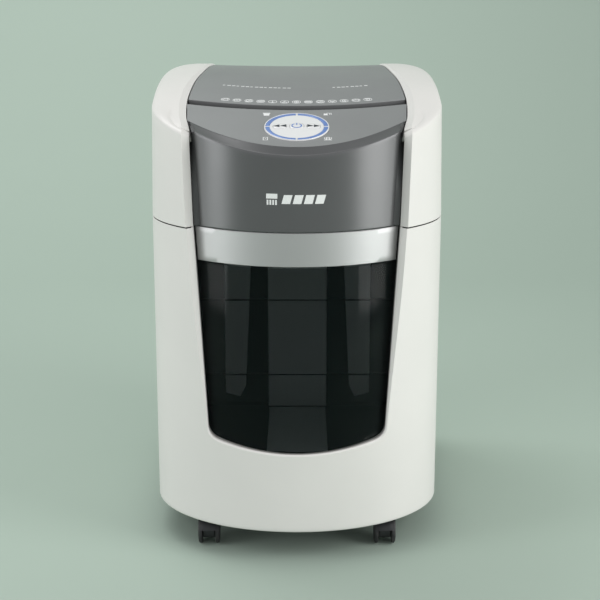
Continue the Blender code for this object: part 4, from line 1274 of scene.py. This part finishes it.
def makeLidSigns():
    # thirteen plain signs along the front edge, each made of a few strokes
    def place(centreX, behind):
        def at(u, v, h):
            x = centreX + u
            y = front + behind + lidShape["frontCurve"] * centreX * centreX + v
            return Vector((x, y, lidTop(x, y) + h))
        return at

    ring = ringPoints(1.0, 0, 345, 16)
    shapes = (
        [[(-3.4, 0), (-1, 2.2), (3, 2.2), (3, -2.2), (-1, -2.2), (-3.4, 0)]],
        [[(-3, 2.4), (3, 2.4), (3, -2.4), (-3, -2.4), (-3, 2.4)], [(-1.6, 0), (1.6, 0)]],
        [[(-3, -2.4), (3, 2.4)], [(-3, 2.4), (3, 2.4), (3, -2.4), (-3, -2.4), (-3, 2.4)]],
        [[(-3.6, 1.8), (3.6, 1.8)], [(-3.6, 0), (3.6, 0)], [(-3.6, -1.8), (3.6, -1.8)]],
        [[(0, 2.6), (0, -2.6)], [(-2, -0.8), (0, -2.6), (2, -0.8)]],
        [[(-2.8, -2.4), (0, 2.6), (2.8, -2.4), (-2.8, -2.4)], [(0, 1.0), (0, -0.8)]],
        [[(2.6 * u, 2.6 * v) for u, v in ring], [(0.9 * u, 0.9 * v) for u, v in ring]],
        [[(-3.4, 1.6), (3.4, 1.6), (3.4, -1.6), (-3.4, -1.6), (-3.4, 1.6)], [(-3.4, 0.6), (3.4, 0.6)]],
        [[(-3, 2.4), (3, 2.4), (3, -2.4), (-3, -2.4), (-3, 2.4)], [(-3, -2.4), (3, 2.4)]],
        [[(-2.8, 2), (0, -2.4), (2.8, 2)], [(-2.8, -0.6), (2.8, -0.6)]],
        [[(2.4 * u, 2.4 * v) for u, v in ring], [(0, 0), (0, 1.6)], [(0, 0), (1.4, 0)]],
        [[(-3.4, -2), (-3.4, 1.2), (-1, 1.2), (-0.4, 2.2), (3.4, 2.2), (3.4, -2), (-3.4, -2)]],
        [[(-3, 2.2), (3, 2.2)], [(-2.2, 2.2), (-1.8, -2.4), (1.8, -2.4), (2.2, 2.2)], [(0, 1.2), (0, -1.4)]],
    )
    wide, high = lidSigns["borderHalf"]
    turns = [2 * pi * (i + 0.5) / 28 for i in range(28)]
    border = [(wide * rounder(cos(a), 0.7), high * rounder(sin(a), 0.7)) for a in turns]

    def inMillimetres(points):
        return [(u * 0.001, v * 0.001) for u, v in points]

    work = bmesh.new()
    for number, shape in enumerate(shapes):
        at = place(lidSigns["startX"] + lidSigns["pitch"] * number, lidSigns["behind"])
        strokeInto(work, inMillimetres(border), lidSigns["borderLine"], at, 0.00012, closed=True)
        for line in shape:
            strokeInto(work, inMillimetres(line), lidSigns["line"], at, 0.00012)
    finished("lidSigns", meshOf(work), "print", "lid", "dial_white", sharp=40)

    work = bmesh.new()
    for start, end, count in lidSigns["dashes"]:
        pitch = (end - start) / count
        for i in range(count):
            x0 = start + pitch * i
            long = pitch * (0.74 if i % 3 else 0.52)
            at = place(0, lidSigns["dashBehind"] + lidSigns["dashCurve"] * x0 * x0)
            strokeInto(work, [(x0, 0), (x0 + long, 0)], lidSigns["dashWide"], at, 0.00010)
    finished("lidDashes", meshOf(work), "print", "lid", "dial_white", sharp=40)


tub = dict(inset=0.020, wall=0.0026, floor=0.0550, floorThick=0.0040, top=0.3850, backY=0.1900,
           corner=0.022, frontWall=0.130, cutHalf=0.1255, cutDeep=0.09, padHalf=0.040, lineHigh=0.0016,
           panelHalf=0.0415, panelRise=0.0060, wingIn=(0.0610, 0.0740), wingOut=0.1030, wingRise=0.0040,
           fillLines=(0.105, 0.215))


noseTurns = range(-90, 91, 5)


def tubPlan(inset):
    # the tub's outline: the nose, the sides, and two rounded corners at the back
    corner, half = tub["corner"], halfWide - inset
    points = [planPoint(a, inset) for a in noseTurns]
    rear = tub["backY"] - (inset - tub["inset"])
    turned = [(half - corner + corner * cos(radians(k)), rear - corner + corner * sin(radians(k)))
              for k in range(0, 91, 10)]
    sides = [(half, -0.05), (half, 0.05), (half, 0.12)]
    points += sides + turned + [(0.06, rear), (0.0, rear), (-0.06, rear)]
    points += [(-x, y) for x, y in turned[::-1]] + [(-x, y) for x, y in sides[::-1]]
    return points


def makeTub():
    values = tub
    inset, wall = values["inset"], values["wall"]
    rings = []
    for step, z in ((inset + 0.003, values["floor"]), (inset, values["floor"] + 0.003), (inset, 0.22),
                    (inset, values["top"] - 0.006), (inset - 0.0012, values["top"] - 0.0055),
                    (inset - 0.0012, values["top"]), (inset + wall, values["top"]), (inset + wall, 0.22),
                    (inset + wall, values["floor"] + values["floorThick"] + 0.004),
                    (inset + wall + 0.004, values["floor"] + values["floorThick"])):
        rings.append([(x, y, z) for x, y in tubPlan(step)])
    shell = loft(rings)
    cut = blockMesh((-values["cutHalf"], front - 0.01, values["frontWall"]),
                    (values["cutHalf"], front + values["cutDeep"], 0.45))
    thing = finished("tubShell", carved(shell, cut), "tub", "bin", "black_plastic", ("bin_tub",), sharp=35)

    rear = values["backY"] - wall
    low, high = values["floor"] + values["floorThick"] - 0.001, values["top"] - 0.012
    work = bmesh.new()

    def slab(outline, rise):
        # a raised panel on the back wall, given by its corners seen from the front
        patchInto(work, outline, lambda u, v, h: Vector((u, rear - h, v)), rise, 0.0012)

    half = values["panelHalf"]
    slab([(-half, low), (half, low), (half, high), (-half, high)], values["panelRise"])
    for side in (-1, 1):
        inTop, inLow = values["wingIn"]
        shape = [(side * values["wingOut"], high - 0.010), (side * inTop, high - 0.016),
                 (side * inLow, low + 0.030), (side * (inLow + 0.008), low + 0.014),
                 (side * values["wingOut"], low + 0.020)]
        slab(shape[::side], values["wingRise"])
    thing = finished("tubPanels", meshOf(work), "tubPale", "bin", "black_plastic", sharp=35)
    bevelled(thing, 0.0012, 3, 30)

    work = bmesh.new()
    for z in values["fillLines"]:
        ring = tubPlan(inset + wall - 0.0004)
        half = len(noseTurns) // 2                         # start at the middle of the nose
        around = [p for p in ring[half:] + ring[:half] if p[1] > -0.10]
        rows = []
        for x, y in around:
            proud = 0.0004 + 0.0068 * smoothStep(0.150, 0.184, y)
            top = z + values["lineHigh"]
            rows.append([(x, y, z), (x * 0.9945, y - proud, z), (x * 0.9945, y - proud, top), (x, y, top)])
        loft(rows, work=work)
    finished("tubFillLines", meshOf(work), "black", "bin", "black_plastic", sharp=35)

    work = bmesh.new()
    top = values["floor"] + values["floorThick"]
    half, padFront, padBack = values["padHalf"], front + 0.030, rear - 0.020
    patchInto(work, [(-half, padFront), (half, padFront), (half, padBack), (-half, padBack)],
              lambda u, v, h: Vector((u, v, top + h)), 0.0030, 0.0005)
    thing = finished("tubFloorPad", meshOf(work), "tubPale", "bin", "black_plastic", sharp=35)
    bevelled(thing, 0.0010, 3, 30)


grip = dict(low=0.269, high=0.340, front=-0.072, back=-0.046, deep=0.0095, corner=0.0045, rim=0.0011)


def gripOutline(grow, steps=6):
    values = grip
    cy, cz = (values["front"] + values["back"]) / 2, (values["low"] + values["high"]) / 2
    hy, hz = (values["back"] - values["front"]) / 2 + grow, (values["high"] - values["low"]) / 2 + grow
    r = min(values["corner"] + grow, hy - 0.0001)
    points = []
    for sy, sz, start in ((1, 1, 0), (-1, 1, 90), (-1, -1, 180), (1, -1, 270)):
        for k in range(steps + 1):
            angle = radians(start + 90 * k / steps)
            points.append((cy + sy * (hy - r) + r * cos(angle), cz + sz * (hz - r) + r * sin(angle)))
    return points


def makeGrips():
    values = grip
    rings = []
    rim, deep = values["rim"], values["deep"]
    for grow, depth in ((-0.0001, 0.0016), (-0.0001, 0.0004), (-0.0006, 0.0), (-rim, 0.0),
                        (-rim - 0.0005, 0.0005), (-0.0026, deep), (-0.0032, deep + 0.0012)):
        rings.append([(halfWide - 0.0002 - depth, y, z) for y, z in gripOutline(grow)])
    work = loft(rings, caps=False, work=bmesh.new())
    work.faces.new([work.verts.new(point) for point in rings[-1]])
    for thing in bothSides("gripCup", meshOf(work), "black", "bin", "black_plastic", ("grip_cup",), sharp=35):
        solid(thing, 0.0009)


sideCover = dict(gap=0.0010, footRound=0.0030, topRound=0.0004, edgeRound=0.0006, endX=0.1300)


def makeSideCovers():
    values = sideCover
    start, end = turnAtY(splitY + values["gap"]), turnAtBackX(values["endX"])
    straightEnd = turnAtY(back - body["backCorner"])
    turns = [start, start + 0.25] + [start + (straightEnd - start) * i / 14 for i in range(1, 15)]
    turns += [straightEnd + (backTurn - straightEnd) * i / 24 for i in range(1, 25)]
    turns += [backTurn + (end - backTurn) * i / 3 for i in range(1, 3)] + [end - 0.2, end]
    top = seam - body["seamGap"] / 2
    sections = []
    for number, a in enumerate(turns):
        edge = values["edgeRound"] if number in (0, len(turns) - 1) else 0.0
        section = [(*planPoint(a, 0.0030), skirt)]
        for k in range(6):
            angle = pi / 2 * k / 5
            r = values["footRound"]
            section.append((*planPoint(a, r * (1 - sin(angle)) + edge), skirt + r * (1 - cos(angle))))
        wallLow, wallHigh = skirt + 0.004, top - 0.0007
        section += [(*planPoint(a, edge), wallLow + (wallHigh - wallLow) * i / 10) for i in range(11)]
        section.append((*planPoint(a, edge + values["topRound"]), top))
        sections.append(section)
    mesh = loft(sections, closed=False, caps=False)
    for thing in bothSides("sideCover", mesh, "white", "cabinet", "white_shell", ("side_cover",), sharp=32):
        solid(thing, body["wall"])


castor = dict(hoodHalf=0.0125, hoodRadius=0.0188, hoodTop=0.0374, wheelRadius=0.0180, tread=0.0050,
              outer=0.0130, hub=0.0085, stem=0.0042, stemBehind=0.0075, stemTop=0.0478)


def bonnetOutline(y, z, share):
    # the hood seen from the side; share is how far across it, from -1 to 1, and it rounds off at both ends
    drop = 0.0042 * abs(share) ** 4
    r = castor["hoodRadius"] - drop * 0.35
    outline = []
    for k in range(19):
        angle = radians(168 - 168 * k / 18)
        outline.append((y + (r + 0.0012) * cos(angle) + 0.0012,
                        min(z + r * sin(angle) - drop * 0.15, castor["hoodTop"])))
    for degree in range(12, 169, 12):
        angle = radians(degree)
        height = z + 0.0010 + (r - 0.0030) * sin(angle) * 0.86
        outline.append((y + (r - 0.0004) * cos(angle) * 0.90, max(height, z + 0.0015)))
    return outline


def makeHood(name, x, y, z, axle):
    # a bonnet over the wheels, the fork blank between them and the swivel's stem
    values = castor
    work = bmesh.new()
    loft([[(x + values["hoodHalf"] * share, py, pz) for py, pz in bonnetOutline(y, z, share)]
          for share in (-1, -0.97, -0.86, -0.66, -0.33, 0, 0.33, 0.66, 0.86, 0.97, 1)], work=work)
    stem = values["stem"]
    place = Matrix.Translation((x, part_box("castor_hood_" + name)[1].y - values["stemBehind"], 0))
    turnedInto(work, [(0, 0.030), (stem + 0.0012, 0.030), (stem + 0.0012, 0.0384), (stem, 0.0386),
                      (stem, values["stemTop"]), (0, values["stemTop"])], 28, place)
    turnedInto(work, [(0.0034, -0.0068), (0.0112, -0.0068), (0.0116, -0.0064), (0.0116, 0.0064),
                      (0.0112, 0.0068), (0.0034, 0.0068)], 32, axle, closed=True)
    blockInto(work, (x - 0.0050, y - 0.0045, z + 0.0030), (x + 0.0050, y + 0.0085, z + 0.0172))
    finished("castorHood_" + name, meshOf(work), "black", "castor_" + name, "black_plastic",
             ("castor_hood_" + name,), sharp=38)


def makeWheel(name, label, hand, axle, stands):
    values = castor
    outer, r, hub = values["outer"], values["wheelRadius"], values["hub"]
    inner = outer - values["tread"]
    profile = [(0.0026, inner), (0.0075, inner), (0.0082, inner + 0.0004), (r - 0.0040, inner + 0.0004),
               (r - 0.0032, inner), (r - 0.0007, inner), (r, inner + 0.0008), (r, outer - 0.0022),
               (r - 0.0006, outer - 0.0012), (r - 0.0020, outer - 0.0004), (r - 0.0034, outer - 0.0002),
               (r - 0.0042, outer - 0.0008), (hub, outer - 0.0016), (hub - 0.0012, outer - 0.0004),
               (0.0030, outer), (0, outer)]
    work = bmesh.new()
    turnedInto(work, [(radius, hand * height) for radius, height in profile], 40, axle)
    finished(label + name, meshOf(work), "rubber", "wheel_" + name, "rubber", stands, sharp=35)


def makeCastors():
    for name in ("front_left", "front_right", "back_left", "back_right"):
        low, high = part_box("castor_wheel_" + name)
        x, y, z = (low.x + high.x) / 2, (low.y + high.y) / 2, castor["wheelRadius"]
        axle = Matrix.Translation((x, y, z)) @ Matrix.Rotation(pi / 2, 4, "Y")
        makeHood(name, x, y, z, axle)
        makeWheel(name, "castorWheelLeft_", -1, axle, ())
        makeWheel(name, "castorWheelRight_", 1, axle, ("castor_wheel_" + name,))


stage = dict(lens=85.0, ahead=1.535, high=0.710, aside=0.0037, pitch=14.3,
             floor=(0.400, 0.490, 0.425), floorHalf=5.0, floorFront=-4.0, bendAt=1.2, bendRadius=1.6,
             floorTop=5.0, world=(0.90, 0.91, 0.91), worldStrength=0.62)

# name, place, aim, size, power and colour
lights = (("softboxRight", (1.25, -0.75, 0.72), (0.05, 0.0, 0.40), (0.75, 1.4), 13.5, (1.0, 0.997, 0.985)),
          ("softboxLeft", (-1.25, -0.70, 0.72), (-0.05, 0.0, 0.40), (0.50, 1.4), 7.0, (0.99, 1.0, 1.0)),
          ("overhead", (-0.2, 0.3, 2.3), (0.0, 0.25, 0.3), (1.8, 1.8), 0.8, (1.0, 1.0, 1.0)),
          ("backdropGlow", (-0.9, 0.9, 2.4), (-0.6, 2.0, 0.6), (1.4, 1.4), 29.0, (1.0, 1.0, 1.0)))


def makeStage():
    values = stage
    camera = placed("camera", bpy.data.cameras.new("camera"))
    camera.data.lens = values["lens"]
    camera.data.sensor_width = 36
    camera.location = (values["aside"], front - values["ahead"], values["high"])
    camera.rotation_euler = (radians(90 - values["pitch"]), 0, 0)
    bpy.context.scene.camera = camera

    half, bend, radius = values["floorHalf"], values["bendAt"], values["bendRadius"]
    side = [(values["floorFront"], 0.0), (bend, 0.0)]
    side += [(bend + radius * sin(radians(k)), radius * (1 - cos(radians(k)))) for k in range(10, 91, 10)]
    side.append((bend + radius, values["floorTop"]))
    sweep = loft([[(-half, y, z), (half, y, z)] for y, z in side], closed=False, caps=False)
    finish = Finish("paleFloor", values["floor"], 0.75)
    finish.feed("Roughness", 0.70 + 0.10 * finish.noise(3.0))
    sweep.materials.append(finish.material)
    sweep.shade_smooth()
    floor = placed("paleFloor", sweep)

    for name, place, aim, size, power, colour in lights:
        lamp = bpy.data.lights.new(name, "AREA")
        lamp.shape = "RECTANGLE"
        lamp.size, lamp.size_y = size
        lamp.energy = power
        lamp.color = colour
        holder = placed(name, lamp)
        holder.location = place
        holder.rotation_euler = (Vector(aim) - Vector(place)).to_track_quat("-Z", "Y").to_euler()

    world = bpy.data.worlds.new("softRoom")
    world.use_nodes = True
    world.node_tree.nodes["Background"].inputs["Color"].default_value = (*values["world"], 1)
    world.node_tree.nodes["Background"].inputs["Strength"].default_value = values["worldStrength"]
    bpy.context.scene.world = world
    bpy.context.scene.view_settings.view_transform = "Standard"


slotLook = dict(white_shell="white", grey_gloss="grey", silver_grey="satin", brushed_band="band",
                smoked_window="smoke", black_plastic="black", dial_white="dial", ring_blue="blue",
                board_green="board", rubber="rubber", steel="steel")
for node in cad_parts.values():
    for place in node.material_slots:
        place.material = look[slotLook[place.material.name.split(".")[0]]]
for maker in (makeBinFront, makeBand, makeWindow, makeHeadCovers, makeFrontPanel, makeControlPanel, makeDial,
              makeKeys, makePanelSigns, makeFrontMark, makeLid, makeLidSigns, makeLidRibs, makeTrayFlanges,
              makeTub, makeGrips, makeSideCovers, makeCastors):
    maker()
    print(maker.__name__, "done")
makeStage()
print("stage ready")
